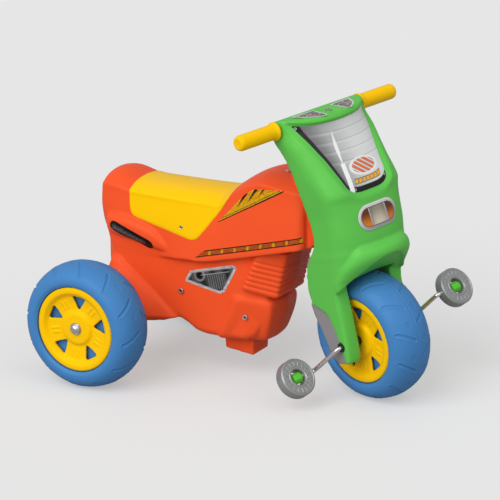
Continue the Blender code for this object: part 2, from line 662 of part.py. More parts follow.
def build_crank(fork, wheel):
    curve = bpy.data.curves.new("crank", "CURVE")
    curve.dimensions = "3D"
    curve.bevel_depth = ROD_RADIUS * MM
    curve.bevel_resolution = 2
    curve.use_fill_caps = True
    spline = curve.splines.new("POLY")
    path = crank_path()
    spline.points.add(len(path) - 1)
    for point, place in zip(spline.points, path):
        point.co = (*(Vector(place) * MM), 1)
    crank = bpy.data.objects.new("crank", curve)
    bpy.context.collection.objects.link(crank)
    crank.parent = wheel
    curve.materials.append(material("crank", "steel", 0.2, 1.0))
    for label, side in (("right", -1), ("left", 1)):
        turn = Matrix.Rotation(math.pi if side < 0 else 0.0, 4, "Z")
        bush = ring_mesh(f"crank_bush_{label}", ROD_RADIUS + GAP, 7.6, BOSS_FACE + GAP, 76.3)
        add_object(f"crank_bush_{label}", moved(bush, turn), fork, "black", 0.5)


def build_pedal(label, side, wheel):
    centre = (side * CRANK_RADIUS * math.cos(CRANK_ANGLE), side * PEDAL_Y + CRANK_SHIFT,
              side * CRANK_RADIUS * math.sin(CRANK_ANGLE))
    pivot = empty(f"pedal_pivot_{label}", wheel, centre)
    half = PEDAL_THICKNESS / 2
    disc = turned(f"pedal_{label}", [
        (PEDAL_HOLE, -half + 1), (PEDAL_HOLE + 1, -half), (PEDAL_RADIUS - 2.5, -half),
        (PEDAL_RADIUS, -half + 2.5), (PEDAL_RADIUS, half - 2.5), (PEDAL_RADIUS - 2.5, half),
        (PEDAL_HOLE + 1, half), (PEDAL_HOLE, half - 1)], 24)
    face = Matrix.Rotation(-PEDAL_TILT, 4, "Y") @ Matrix.Rotation(math.radians(-90), 4, "Z")
    pedal = add_object(f"pedal_{label}", moved(disc, face), pivot, "grey", 0.35, 0.5)
    cut(pedal, turned_solid(f"spindle_bore_{label}", [
        (ROD_RADIUS + 0.6, -side * (PEDAL_RADIUS + 8)), (ROD_RADIUS + 0.6, 0)], 12))
    cap = turned_solid(f"pedal_cap_{label}", [
        (ROD_RADIUS + GAP, side * 5.4), (ROD_RADIUS + GAP, -side * 9), (CAP_RADIUS - 1, -side * 9),
        (CAP_RADIUS, -side * 8), (CAP_RADIUS, side * 8), (CAP_RADIUS - 1, side * 9)], 16)
    add_object(f"pedal_cap_{label}", moved(cap, shift(*centre)), wheel, "green", 0.4)


# Fasteners and bearings of the steering head

def build_head_bushes(frame):
    straight = straight_fork() @ Matrix.Rotation(math.radians(90), 4, "X")
    bore = COLUMN_RADIUS + GAP
    lower = turned("head_bush_lower", [
        (bore, CROWN_TOP + GAP), (20, CROWN_TOP + GAP), (20, HEAD_BOTTOM - GAP),
        (13.7, HEAD_BOTTOM - GAP), (13.7, HEAD_BOTTOM + 12), (bore, HEAD_BOTTOM + 12)], 16)
    upper = ring_mesh("head_bush_upper", bore, 13.7, HEAD_TOP - 14, HEAD_TOP + 9)
    for mesh in (lower, upper):
        add_object(mesh.name, moved(mesh, straight), frame, "black", 0.5)


def screw_mesh(name, place, direction, radius=5.0):
    """Grey ring with a socket in it, standing on a face that looks along direction."""
    mesh = turned_solid(name, [(2.0, 0.4), (2.0, 1.4), (radius - 0.6, 1.8), (radius, 1.2),
                               (radius, GAP)], 10)
    turn = Vector((0, 1, 0)).rotation_difference(Vector(direction)).to_matrix().to_4x4()
    return moved(mesh, shift(*place) @ turn)


def build_screws(frame):
    # Name, place, the way it looks (both for the left side) and radius
    screws = [("engine_screw_rear", (111, 63.5, 150), (0, 1, 0), 5.0),
              ("engine_screw_front", (237, 61.5, 122), (0, 1, 0), 5.0),
              ("seat_screw", (115, 67.2, 266), (0, 1, 0), 3.2),
              ("tank_screw", (297, 20, 378.7), (0, 0.08, 1), 5.0)]
    for name, (x, y, z), (a, b, c), radius in screws:
        for label, side in (("right", -1), ("left", 1)):
            mesh = screw_mesh(f"{name}_{label}", (x, side * y, z), (a, side * b, c), radius)
            add_object(mesh.name, mesh, frame, "steel", 0.3, 1.0)


def main():
    for obj in list(bpy.data.objects):
        bpy.data.objects.remove(obj)
    frame = empty("vehicle_frame", None, -ORIGIN)
    axle = empty("rear_axle_line", frame, (0, 0, WHEEL_RADIUS))
    straight = empty("steering_head_frame", frame, (WHEELBASE, 0, FRONT_HUB_Z),
                     Matrix.Rotation(-RAKE, 3, "Y"))
    fork = empty("steering_axis", straight, (0, 0, 0), Matrix.Rotation(STEER_AT_REST, 3, "Z"))
    front = empty("front_axle_line", fork)
    build_body(frame)
    build_seat(frame)
    build_rear_axle(axle)
    both = (("outer", 1), ("inner", -1))
    for label, side in (("rear_right", -1), ("rear_left", 1)):
        turn = Matrix.Rotation(math.pi if side < 0 else 0.0, 3, "Z")
        wheel = empty(f"{label}_wheel_line", axle, (0, side * REAR_TRACK / 2, 0), turn)
        build_wheel(label, wheel, AXLE_RADIUS + GAP, both, REAR_WINDOW_TURN)
    down = math.atan2(-math.sin(RAKE) * math.cos(STEER_AT_REST), math.cos(RAKE))
    build_wheel("front", front, ROD_RADIUS + GAP, (("left", 1), ("right", -1)), FRONT_WINDOW_TURN,
                down)
    build_fairing(fork)
    build_fork_back(fork)
    build_column(fork)
    build_panels(fork)
    build_crank(fork, front)
    for label, side in (("right", -1), ("left", 1)):
        build_pedal(label, side, front)
    build_head_bushes(frame)
    build_screws(frame)


main()
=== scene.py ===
# %% [markdown]
# # A pedal motorcycle for a small child
#
# The toy is a blow moulded body on two wide rear wheels. A raked fork with a tall fairing carries the
# handlebar and a front wheel that the child turns with pedals. Almost every piece is coloured plastic,
# so the lesson is about soft moulded forms and about a plastic skin that isn't one flat colour.
#
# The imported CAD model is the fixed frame. It says where each piece is and which body it moves with.
# New surfaces are worked out with numpy in millimetres and then put in place, in metres.

# %% Load the frame
import math

import bmesh
import bpy
import numpy as np
from mathutils import Matrix, Vector


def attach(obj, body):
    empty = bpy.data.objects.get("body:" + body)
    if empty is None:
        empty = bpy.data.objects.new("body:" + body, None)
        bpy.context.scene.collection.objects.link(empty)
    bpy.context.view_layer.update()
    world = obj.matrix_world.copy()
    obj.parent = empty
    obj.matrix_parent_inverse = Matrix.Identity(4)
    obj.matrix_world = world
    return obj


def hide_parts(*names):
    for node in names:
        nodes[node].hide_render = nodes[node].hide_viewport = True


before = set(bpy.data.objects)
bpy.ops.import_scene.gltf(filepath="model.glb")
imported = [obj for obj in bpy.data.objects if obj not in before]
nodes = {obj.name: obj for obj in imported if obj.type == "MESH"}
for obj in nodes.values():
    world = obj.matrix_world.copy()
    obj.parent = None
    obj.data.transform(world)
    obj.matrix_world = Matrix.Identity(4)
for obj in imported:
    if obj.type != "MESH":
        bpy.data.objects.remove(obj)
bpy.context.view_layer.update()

# %% [markdown]
# ## Where things are
#
# A maker measures the body from the rear axle, and the fork from the front hub along the steering
# axis, which leans back by 16 degrees and stands turned 19 degrees to the right. Each of these
# frames is a 4 x 4 matrix, so a shape can be drawn upright and straight and then be put in place.

# %% Frames of the body, the fork and the wheels
MM = 0.001
WHEEL_RADIUS = 110.0


def move(x=0.0, y=0.0, z=0.0):
    matrix = np.eye(4)
    matrix[:3, 3] = x, y, z
    return matrix


def turn(axis, degrees):
    return np.array(Matrix.Rotation(math.radians(degrees), 4, axis))


BODY = move(x=-227.4)
STRAIGHT_FORK = BODY @ move(450, 0, 110.7) @ turn("Y", -16)
FORK = STRAIGHT_FORK @ turn("Z", -19)
REAR_RIGHT = BODY @ move(0, -190, WHEEL_RADIUS)
REAR_LEFT = BODY @ move(0, 190, WHEEL_RADIUS)


def placed(points, where):
    """Points in millimetres of a frame, as metres of the whole vehicle."""
    points = np.asarray(points, float)
    return (points @ where[:3, :3].T + where[:3, 3]) * MM


# %% [markdown]
# ## Curves through measured points
#
# The outline of the body and the fairing were measured at a handful of places. Two kinds of curve
# join them. `smooth` goes along one table of values and never swings past them, which suits a rail
# such as the height of the tank. `through` goes through points of a section, round its corners. An
# outline drawn with straight sides gets its rounds from a Gaussian blur along its way.

# %% Curves and outlines


def smooth(table, x):
    """Value at x on a curve through (x, value) pairs: cubic pieces whose slope at each pair is the
    weighted harmonic mean of the slopes beside it, or zero at a peak."""
    xs, ys = np.array(table, float).T
    steps = np.diff(xs)
    slopes = np.diff(ys) / steps
    tangent = np.zeros_like(ys)
    weight_a, weight_b = 2 * steps[1:] + steps[:-1], steps[1:] + 2 * steps[:-1]
    with np.errstate(divide="ignore", invalid="ignore"):
        mean = (weight_a + weight_b) / (weight_a / slopes[:-1] + weight_b / slopes[1:])
    tangent[1:-1] = np.where(slopes[:-1] * slopes[1:] > 0, mean, 0.0)
    tangent[0], tangent[-1] = slopes[0], slopes[-1]
    x = np.clip(x, xs[0], xs[-1])
    i = np.clip(np.searchsorted(xs, x) - 1, 0, len(xs) - 2)
    t = (x - xs[i]) / steps[i]
    return ((1 + 2 * t) * (1 - t) ** 2 * ys[i] + t * (1 - t) ** 2 * steps[i] * tangent[i]
            + t * t * (3 - 2 * t) * ys[i + 1] + t * t * (t - 1) * steps[i] * tangent[i + 1])


def through(points, s):
    """Curve through points (..., count, 2) at s from 0 to 1: cubic pieces whose tangent at a point
    is the mean of the directions beside it, weighted towards the nearer neighbour."""
    count = points.shape[-2]
    gaps = np.diff(points, axis=-2)
    lengths = np.maximum(np.linalg.norm(gaps, axis=-1, keepdims=True), 1e-6)
    ways = gaps / lengths
    middle = ((ways[..., :-1, :] * lengths[..., 1:, :] + ways[..., 1:, :] * lengths[..., :-1, :])
              / (lengths[..., :-1, :] + lengths[..., 1:, :]))
    tangents = np.concatenate([ways[..., :1, :], middle, ways[..., -1:, :]], axis=-2)
    place = np.clip(np.asarray(s, float), 0, 1) * (count - 1)
    i = np.minimum(place.astype(int), count - 2)
    t = (place - i)[..., None]
    i = i[..., None, None]

    def pick(array, index):
        return np.take_along_axis(array, np.broadcast_to(index, index.shape[:-1] + array.shape[-1:]),
                                  axis=-2)[..., 0, :]

    length = pick(lengths, i)
    return ((1 + 2 * t) * (1 - t) ** 2 * pick(points, i) + t * (1 - t) ** 2 * length * pick(tangents, i)
            + t * t * (3 - 2 * t) * pick(points, i + 1) + t * t * (t - 1) * length * pick(tangents, i + 1))


def eased(x, low, high):
    """0 below low, 1 above high, and a smooth S between them."""
    t = np.clip((np.asarray(x, float) - low) / (high - low), 0, 1)
    return t * t * (3 - 2 * t)


def bulged(c, power):
    """Sine or cosine c, made that of a superellipse of the given power."""
    return np.sign(c) * np.abs(c) ** (2 / power)


def reach_along(path):
    """Length of the way from a path's first point to each of its points."""
    return np.concatenate([[0], np.cumsum(np.linalg.norm(np.diff(path, axis=0), axis=1))])


def resampled(path, reach, places):
    return np.stack([np.interp(places, reach, column) for column in path.T], axis=-1)


def blurred(path, sigma, width, closed=False):
    """Each point becomes the Gaussian mean of width points to each side, which rounds corners. An
    open path is first carried on past its ends, mirrored through them."""
    weights = np.exp(-0.5 * (np.arange(-width, width + 1) / sigma) ** 2)
    weights /= weights.sum()
    if closed:
        before, after = path[-width:], path[:width]
    else:
        before = 2 * path[0] - path[width:0:-1]
        after = 2 * path[-1] - path[-2:-width - 2:-1]
    longer = np.vstack([before, path, after])
    return np.stack([np.convolve(column, weights, "valid") for column in longer.T], axis=-1)


def rounded_path(corners, radius):
    """Open path through corners with rounds of about the radius, a point every millimetre, and its
    unit normals on the left of its way."""
    corners = np.array(corners, float)
    reach = reach_along(corners)
    path = resampled(corners, reach, np.linspace(0, reach[-1], int(reach[-1]) + 1))
    path = blurred(path, radius, 3 * radius)
    way = np.gradient(path, axis=0)
    way /= np.linalg.norm(way, axis=1, keepdims=True)
    return path, np.stack([-way[:, 1], way[:, 0]], axis=-1)


# %% [markdown]
# ## From a grid of points to a mesh
#
# A surface is a grid of points: rows along it and columns across it. `skin` turns the grid into
# quads with whole-array index sums. It merges double points, such as those at a pole, and makes the
# faces look outwards.

# %% Grids, meshes and objects


def circle(count):
    """Angles of count points spaced evenly round a circle."""
    return 2 * math.pi * np.arange(count) / count


def revolved(r, y, angle):
    """Points at radius r and place y, at each angle about the y axis."""
    r, y, angle = np.broadcast_arrays(r, y, angle)
    return np.stack([r * np.cos(angle), y, r * np.sin(angle)], axis=-1)


def quads(rows, columns, wrap_rows=False, wrap_columns=False):
    """Faces between neighbouring points of a grid, as lists of point numbers."""
    index = np.arange(rows * columns).reshape(rows, columns)
    if wrap_rows:
        index = np.vstack([index, index[:1]])
    if wrap_columns:
        index = np.hstack([index, index[:, :1]])
    faces = np.stack([index[:-1, :-1], index[:-1, 1:], index[1:, 1:], index[1:, :-1]], axis=-1)
    return faces.reshape(-1, 4).tolist()


def skin(points, where, wrap_rows=False, wrap_columns=False, ends=False):
    """Mesh over a grid (rows, columns, 3) in millimetres of the frame where. Wrapped rows or columns
    close on themselves, and ends puts a flat cap on the first and last row."""
    rows, columns = points.shape[:2]
    faces = quads(rows, columns, wrap_rows, wrap_columns)
    if ends:
        faces += [list(range(columns)), list(range((rows - 1) * columns, rows * columns))]
    mesh = bpy.data.meshes.new("skin")
    mesh.from_pydata(placed(points.reshape(-1, 3), where).tolist(), [], faces)
    return outward(mesh)


def closed_form(rings, where):
    """Each row of the grid is a ring, and the first and last ring are capped."""
    return skin(rings, where, wrap_columns=True, ends=True)


def outward(mesh):
    work = bmesh.new()
    work.from_mesh(mesh)
    bmesh.ops.remove_doubles(work, verts=work.verts, dist=2e-6)
    bmesh.ops.recalc_face_normals(work, faces=work.faces)
    work.to_mesh(mesh)
    work.free()
    return mesh


def as_object(name, mesh):
    obj = bpy.data.objects.new(name, mesh)
    mesh.name = name
    bpy.context.scene.collection.objects.link(obj)
    return obj


def apply_modifiers(obj):
    shape = obj.evaluated_get(bpy.context.evaluated_depsgraph_get())
    mesh = bpy.data.meshes.new_from_object(shape)
    obj.modifiers.clear()
    obj.data = mesh
    mesh.name = obj.name
    return obj


def smooth_shading(obj, sharp_above=180):
    obj.data.shade_smooth()
    if sharp_above < 180:
        obj.data.set_sharp_from_angle(angle=math.radians(sharp_above))
    return obj


# %% [markdown]
# ## One moulded shell out of several forms
#
# A blow moulded part has no sharp inside corners: where two forms meet, the plastic flows round.
# Booleans give knife-sharp seams there. A voxel remesh of overlapping closed forms gives one skin
# over all of them, and a few rounds of smoothing turn its corners into radii of some millimetres.
# What has to be cut away, such as the room for the wheel, is cut before the remesh.

# %% Grow forms together


def moulded(name, forms, voxel, rounds, cutters=(), added=()):
    """Closed forms, with the added ones joined on and the cutters then taken away, as one skin of
    square faces a voxel wide."""
    work = bmesh.new()
    for form in forms:
        work.from_mesh(form)
    mesh = bpy.data.meshes.new(name)
    work.to_mesh(mesh)
    work.free()
    obj = as_object(name, mesh)
    tools = []
    steps = [("UNION", form) for form in added] + [("DIFFERENCE", form) for form in cutters]
    for k, (operation, form) in enumerate(steps):
        tool = as_object(f"cut_{k}", form)
        modifier = obj.modifiers.new(tool.name, "BOOLEAN")
        modifier.object = tool
        modifier.operation = operation
        modifier.solver = "EXACT"
        tools.append(tool)
    remesh = obj.modifiers.new("one_skin", "REMESH")
    remesh.mode = "VOXEL"
    remesh.voxel_size = voxel * MM
    soften = obj.modifiers.new("soften", "SMOOTH")
    soften.factor = 0.5
    soften.iterations = rounds
    apply_modifiers(obj)
    for tool in tools:
        bpy.data.objects.remove(tool)
    smooth_shading(obj)
    print(f"{name}: {len(obj.data.polygons)} faces")
    return obj


# %% [markdown]
# ## The plastic
#
# Moulded plastic has a faint orange peel, a slow change of tone where the wall is thicker or
# thinner, and small scuffs that change how sharp a highlight is. All the coloured plastics share
# this, so it is one shader node group. It puts out a colour, a roughness and a height, and the
# Principled shader stays in each material. The group reads Object coordinates, so the grain has the
# same size on every piece.

# %% Shared plastic skin


def node(tree, kind, inputs=None, **values):
    """New node with its properties and the default values of its inputs."""
    made = tree.nodes.new(kind)
    for name, value in values.items():
        setattr(made, name, value)
    for socket, value in (inputs or {}).items():
        made.inputs[socket].default_value = value
    return made


def wire(tree, *links):
    """Each link is a node and its output, and then the node and the input that it goes to."""
    for source, output, target, socket in links:
        tree.links.new(source.outputs[output], target.inputs[socket])


def plastic_group():
    group = bpy.data.node_groups.new("plastic_skin", "ShaderNodeTree")
    for name, kind, default in (("Colour", "NodeSocketColor", (0.8, 0.8, 0.8, 1)),
                                ("Tone change", "NodeSocketFloat", 0.06),
                                ("Roughness", "NodeSocketFloat", 0.35)):
        group.interface.new_socket(name, in_out="INPUT", socket_type=kind).default_value = default
    for name, kind in (("Colour", "NodeSocketColor"), ("Roughness", "NodeSocketFloat"),
                       ("Height", "NodeSocketFloat")):
        group.interface.new_socket(name, in_out="OUTPUT", socket_type=kind)
    given, result = node(group, "NodeGroupInput"), node(group, "NodeGroupOutput")
    place = node(group, "ShaderNodeTexCoord")

    slow = node(group, "ShaderNodeTexNoise", {"Scale": 9.0, "Detail": 3.0})
    around_zero = node(group, "ShaderNodeMath", {1: 0.5}, operation="SUBTRACT")
    share = node(group, "ShaderNodeMath", {2: 1.0}, operation="MULTIPLY_ADD")
    tone = node(group, "ShaderNodeHueSaturation")
    wire(group, (place, "Object", slow, "Vector"), (slow, "Fac", around_zero, 0),
         (around_zero, 0, share, 0), (given, "Tone change", share, 1), (share, 0, tone, "Value"),
         (given, "Colour", tone, "Color"), (tone, "Color", result, "Colour"))

    scuffs = node(group, "ShaderNodeTexNoise", {"Scale": 55.0, "Detail": 6.0})
    rougher = node(group, "ShaderNodeMapRange",
                   {"From Min": 0.35, "From Max": 0.75, "To Min": 0.0, "To Max": 0.12})
    added = node(group, "ShaderNodeMath", operation="ADD")
    wire(group, (place, "Object", scuffs, "Vector"), (scuffs, "Fac", rougher, "Value"),
         (rougher, "Result", added, 0), (given, "Roughness", added, 1), (added, 0, result, "Roughness"))

    peel = node(group, "ShaderNodeTexNoise", {"Scale": 900.0, "Detail": 2.0})
    wire(group, (place, "Object", peel, "Vector"), (peel, "Fac", result, "Height"))
    return group


PLASTIC = plastic_group()


def new_material(name, inputs):
    """New material with these inputs of its Principled shader, its node tree and the shader."""
    made = bpy.data.materials.new(name)
    made.use_nodes = True
    shader = made.node_tree.nodes["Principled BSDF"]
    for socket, value in inputs.items():
        shader.inputs[socket].default_value = value
    return made, made.node_tree, shader


def plastic(name, colour, roughness=0.35, depth=0.04, tone=0.06, coat=0.0, metallic=0.0,
            painted=False, glint=(1.0, 1.0, 1.0)):
    """A moulded plastic. With painted, its colour comes from the mesh's own Paint attribute."""
    made, tree, shader = new_material(name, {
        "Metallic": metallic, "Coat Weight": coat, "Coat Roughness": 0.12, "Specular IOR Level": 0.25,
        "Specular Tint": (*glint, 1.0)})
    grain = node(tree, "ShaderNodeGroup", {"Colour": (*colour, 1.0), "Tone change": tone,
                                           "Roughness": roughness}, node_tree=PLASTIC)
    bump = node(tree, "ShaderNodeBump", {"Distance": depth * MM})
    wire(tree, (grain, "Colour", shader, "Base Color"), (grain, "Roughness", shader, "Roughness"),
         (grain, "Height", bump, "Height"), (bump, "Normal", shader, "Normal"))
    if painted:
        paint = node(tree, "ShaderNodeAttribute", attribute_name="Paint")
        wire(tree, (paint, "Color", grain, "Colour"))
    return made


def metal(name, colour, roughness, streak):
    """Plated or brushed metal: a bright colour and a roughness that changes along fine streaks."""
    made, tree, shader = new_material(name, {"Base Color": (*colour, 1.0), "Metallic": 1.0})
    place = node(tree, "ShaderNodeTexCoord")
    noise = node(tree, "ShaderNodeTexNoise", {"Scale": 260.0, "Detail": 5.0})
    span = node(tree, "ShaderNodeMapRange", {"To Min": roughness - streak, "To Max": roughness + streak})
    wire(tree, (place, "Object", noise, "Vector"), (noise, "Fac", span, "Value"),
         (span, "Result", shader, "Roughness"))
    return made


RED = plastic("red_shell", (0.90, 0.090, 0.021), roughness=0.38, tone=0.07, glint=(1.0, 0.62, 0.42))
YELLOW = plastic("yellow_moulding", (0.97, 0.560, 0.002), roughness=0.34, tone=0.05,
                 glint=(1.0, 0.72, 0.12))
GREEN = plastic("green_shell", (0.115, 0.535, 0.080), roughness=0.38, tone=0.07,
                glint=(0.75, 1.0, 0.60))
LIME = plastic("green_cap", (0.110, 0.560, 0.040), roughness=0.4)
BLUE = plastic("blue_tyre", (0.058, 0.215, 0.500), roughness=0.42, tone=0.08, depth=0.06,
               glint=(0.60, 0.85, 1.0))
GREY = plastic("grey_shell", (0.270, 0.255, 0.265), roughness=0.5)
SILVER_PEDAL = plastic("silver_pedal", (0.340, 0.345, 0.350), roughness=0.34, metallic=0.55, tone=0.1)
# Black plastic of the bushes, also used as painted shade in the screw sockets
BLACK_AND_SOCKET_SHADE = plastic("black_bearing_and_socket_shade", (0.020, 0.020, 0.021), roughness=0.45)
PRINT = plastic("printed_film", (0.5, 0.5, 0.5), roughness=0.25, tone=0.0, coat=0.1, depth=0.01,
                painted=True)
CHROME = metal("bright_rod", (0.80, 0.80, 0.81), 0.14, 0.06)
ZINC = metal("zinc_plate", (0.62, 0.62, 0.63), 0.34, 0.12)


def finish(obj, material, body, *replaced):
    """Gives a piece its material, its body and the CAD nodes that it stands for."""
    obj.data.materials.clear()
    obj.data.materials.append(material)
    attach(obj, body)
    if replaced:
        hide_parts(*replaced)
    return obj


def piece(name, mesh, sharp_above, material, body, *replaced):
    """New finished object, smooth but for its edges above an angle."""
    return finish(smooth_shading(as_object(name, mesh), sharp_above), material, body, *replaced)


# %% [markdown]
# ## The body shell
#
# The upper body is a section that changes along the vehicle: a dome on top, a crease, a flank and a
# ledge that overhangs the lower body. The rails below give each of these at every x. The section's
# curve passes close on both sides of the crease, so that the crease stays a soft line and doesn't
# melt into the flank.

# %% Rails of the body, as (x, value) in millimetres
TOP_Z = [(-62, 314), (-57, 330), (-48, 337.5), (-31, 340), (-10, 335), (6, 329), (22, 327), (182, 331),
         (197, 337), (210, 347), (228, 360), (248, 371), (270, 378), (292, 380), (352, 379)]
CREASE_Y = [(-62, 40), (-50, 55), (-28, 58.5), (180, 59), (215, 63), (250, 66), (334, 67), (352, 62)]
CREASE_Z = [(-62, 300), (-50, 319), (-28, 319), (0, 315), (20, 313.5), (182, 312), (200, 324),
            (212, 335), (230, 348), (250, 358), (270, 363), (290, 361), (314, 358), (336, 355),
            (352, 353)]
SIDE_Y = [(-62, 42), (-50, 57), (-20, 62), (120, 66), (200, 70), (300, 73), (338, 72.5),
          (346, 70.5), (352, 64)]
LEDGE_Y = [(-62, 40), (-46, 52), (-25, 59), (60, 62), (105, 72), (200, 75), (330, 75), (341, 74),
           (347, 71.5), (352, 65)]
LEDGE_Z = [(-62, 266), (-56, 252), (-46, 239), (-36, 216), (-20, 205), (60, 205), (105, 209),
           (150, 211.5), (216, 225.8), (269, 239.7), (352, 262)]
BELLY_Z = [(-44, 168), (-40, 122), (-25, 91), (0, 83), (60, 83), (100, 96), (118, 90), (140, 78),
           (160, 75), (225, 76), (250, 83), (262, 106), (268, 138), (280, 172), (296, 210),
           (300, 235)]
NEAR_CREASE = 0.86              # share of the way up the flank where a point holds it straight
LOWER_ROUND = 14
LOWER_Y = [(-44, 46), (-28, 57), (0, 60), (230, 61), (268, 48), (300, 42)]


def upper_rail_points(x):
    """Points of the right half section at each x, as (y, z), from the ledge to the top's middle."""
    top, crease_y, crease_z = smooth(TOP_Z, x), smooth(CREASE_Y, x), smooth(CREASE_Z, x)
    side_y, ledge_y, ledge_z = smooth(SIDE_Y, x), smooth(LEDGE_Y, x), smooth(LEDGE_Z, x)
    rise, middle_z = top - crease_z, (crease_z + ledge_z) / 2
    half = [(ledge_y, ledge_z), (side_y, middle_z),
            (side_y + NEAR_CREASE * (crease_y - side_y),
             middle_z + NEAR_CREASE * (crease_z - middle_z)),
            (crease_y, crease_z),
            (0.93 * crease_y, crease_z + 0.17 * rise), (0.7 * crease_y, crease_z + 0.6 * rise),
            (0.36 * crease_y, crease_z + 0.9 * rise), (0 * crease_y, top)]
    return np.stack([np.stack([y, z], axis=-1) for y, z in half], axis=-2)


def upper_point(x, s):
    """Point of the upper body at x, with s from 0 at the right ledge over the top to 1 at the left."""
    x, s = np.broadcast_arrays(np.asarray(x, float), np.asarray(s, float))
    yz = through(upper_rail_points(x), 1 - np.abs(2 * s - 1))
    return np.stack([x, np.where(s < 0.5, -yz[..., 0], yz[..., 0]), yz[..., 1]], axis=-1)


def upper_normal(x, s):
    """Outward direction there: the cross product of a small step along and a small step across."""
    along = upper_point(x + 0.5, s) - upper_point(x - 0.5, s)
    over = upper_point(x, np.clip(s + 0.002, 0, 1)) - upper_point(x, np.clip(s - 0.002, 0, 1))
    normal = np.cross(along, over)
    normal /= np.linalg.norm(normal, axis=-1, keepdims=True)
    return normal * np.where(normal[..., 2:3] < -0.2, -1, 1)


def upper_body():
    x = np.arange(-62.0, 352.1, 2.0)[:, None]
    rings = upper_point(x, np.linspace(0, 1, 121)[None, :])
    ledge_y, ledge_z = smooth(LEDGE_Y, x), smooth(LEDGE_Z, x)
    under = [np.stack([x, side * (ledge_y - 14), ledge_z - 3], axis=-1) for side in (1, -1)]
    return closed_form(np.concatenate([rings, *under], axis=1), BODY)


def lower_body():
    """Flat sides and a belly joined by quarter rounds."""
    x = np.arange(-44.0, 300.1, 2.0)[:, None]
    y, low, high = smooth(LOWER_Y, x), smooth(BELLY_Z, x), smooth(LEDGE_Z, x) + 8
    angle = np.linspace(0, math.pi / 2, 9)[None, :]
    radius = np.minimum(LOWER_ROUND, (high - low) / 3)
    arc = np.stack([x + 0 * angle, y - LOWER_ROUND * (1 - np.cos(angle)),
                    low + radius * (1 - np.sin(angle))], axis=-1)
    half = np.concatenate([np.stack([x, y, high], axis=-1), arc], axis=1)
    return closed_form(np.concatenate([half, half[:, ::-1] * (1, -1, 1)], axis=1), BODY)


# %% [markdown]
# ## Forms that grow out of the body
#
# The axle arms, the pointed nacelles beside the tail, the finned cylinder block, the crank case, the
# stub under the belly and the steering head are each a closed form of their own. Each reaches well
# into the body, so that the remesh makes one skin of them.

# %% Axle arms, nacelles, engine and steering head
# Root of the arm on the body's side as (x, z), and for each point the way it looks from the axle at
# the arm's round end, in degrees above forward
ARM_ROOT = [(102, 98, -22), (80, 118, 5), (56, 138, 30), (26, 160, 55), (-4, 182, 85),
            (-16, 192, 105), (-30, 192, 130), (-40, 168, 155), (-41, 135, 180), (-34, 97, 215),
            (0, 86, 258), (62, 87, 305)]
ARM_SHARE = [(30, 0), (60, 0), (63, 0.04), (72, 0.40), (84, 0.67), (100, 0.88), (118, 0.98), (141, 1)]


ARM_RADIUS = 30


def axle_arm(side):
    """The root's outline turns into a circle about the axle, fast at first, then slowly."""
    corners = np.array(ARM_ROOT, float)
    closed = np.vstack([corners, corners[:1] + (0, 0, 360)])
    place = np.linspace(0, len(corners), 96, endpoint=False)
    root_x, root_z, way = resampled(closed, np.arange(len(closed)), place).T
    way = np.radians(way)
    y = np.linspace(30, 141, 75)[:, None]
    share = smooth(ARM_SHARE, y)
    x = root_x + share * (ARM_RADIUS * np.cos(way) - root_x)
    z = root_z + share * (WHEEL_RADIUS + ARM_RADIUS * np.sin(way) - root_z)
    return closed_form(np.stack([x, side * y + 0 * x, z], axis=-1), BODY)


# Stations of the nacelle: x, how far out it stands, half its height and the height of its middle
NACELLE = [(-44, 51, 7, 250), (-40, 62, 13, 251), (-34, 69, 19, 252), (0, 74, 22, 249.5),
           (55, 73, 19.5, 237), (80, 69, 12, 225), (96, 66.5, 5, 218), (99, 64, 3, 217)]
NACELLE_ROOT = 45


def nacelle(side):
    """Half a rounded tube along the tail, pointed in front."""
    x = np.arange(-44.0, 99.1, 1.5)[:, None]
    out, high, middle_z = [smooth([(row[0], row[k]) for row in NACELLE], x) for k in (1, 2, 3)]
    angle = circle(64) + math.pi / 64
    a, b = bulged(np.cos(angle), 3.0), bulged(np.sin(angle), 3.0)
    points = np.stack([x + 0 * a, side * (NACELLE_ROOT + (out - NACELLE_ROOT) * a), middle_z + high * b],
                      axis=-1)
    return closed_form(points[:, a > 0], BODY)


FIN_PITCH = 9.3
FIN_LEAN = 0.22                 # the ribs fall by this much for each millimetre forward
FIN_HEIGHT = 3.0
FIN_LEVELS = (160.0, 236.5)
FIN_LOW = [(226, 61), (236, 67), (292, 48), (297, 0), (292, -48), (236, -67), (226, -61)]
FIN_HIGH = [(256, 61), (269, 67.5), (309, 48), (315, 0), (309, -48), (269, -67.5), (256, -61)]
FIN_OUTLINES = (161.0, 235.0)   # heights of these two outlines


def fin_block(ribbed):
    """Cylinder block. Each level is a rounded path over both flanks and the front. The ribbed one is
    pushed outwards by ribs, round at the crest and narrow at the foot, that fade in at their ends."""
    low, high = np.array(FIN_LOW, float), np.array(FIN_HIGH, float)
    levels = []
    for z in np.arange(FIN_LEVELS[0] - (1.0 if ribbed else 3.0), FIN_LEVELS[1] + 5.1, 0.6):
        share = (z - FIN_OUTLINES[0]) / (FIN_OUTLINES[1] - FIN_OUTLINES[0])
        path, out = rounded_path(low + share * (high - low), 4)
        line = reach_along(path)
        reach = np.linspace(0, line[-1], 340)
        path, out = resampled(path, line, reach), resampled(out, line, reach)
        wave = abs(math.sin(math.pi * min(z - FIN_LEVELS[0], 6.5 * FIN_PITCH) / FIN_PITCH))
        from_end = np.minimum(reach, reach[-1] - reach)
        fade = np.sqrt(np.clip((from_end - 3) / 9, 0, 1))
        push = FIN_HEIGHT * wave ** 0.55 * fade - 2.2 if ribbed else np.full(len(reach), -3.6)
        path = path + out * push[:, None]
        corner = low[2, 0] + share * (high[2, 0] - low[2, 0])
        rise = FIN_LEAN * np.maximum(corner - path[:, 0], 0)
        rise = rise + 0.1 * np.maximum(48 - np.abs(path[:, 1]), 0)
        levels.append(np.column_stack([path, z + rise]))
    return closed_form(np.stack(levels), BODY)


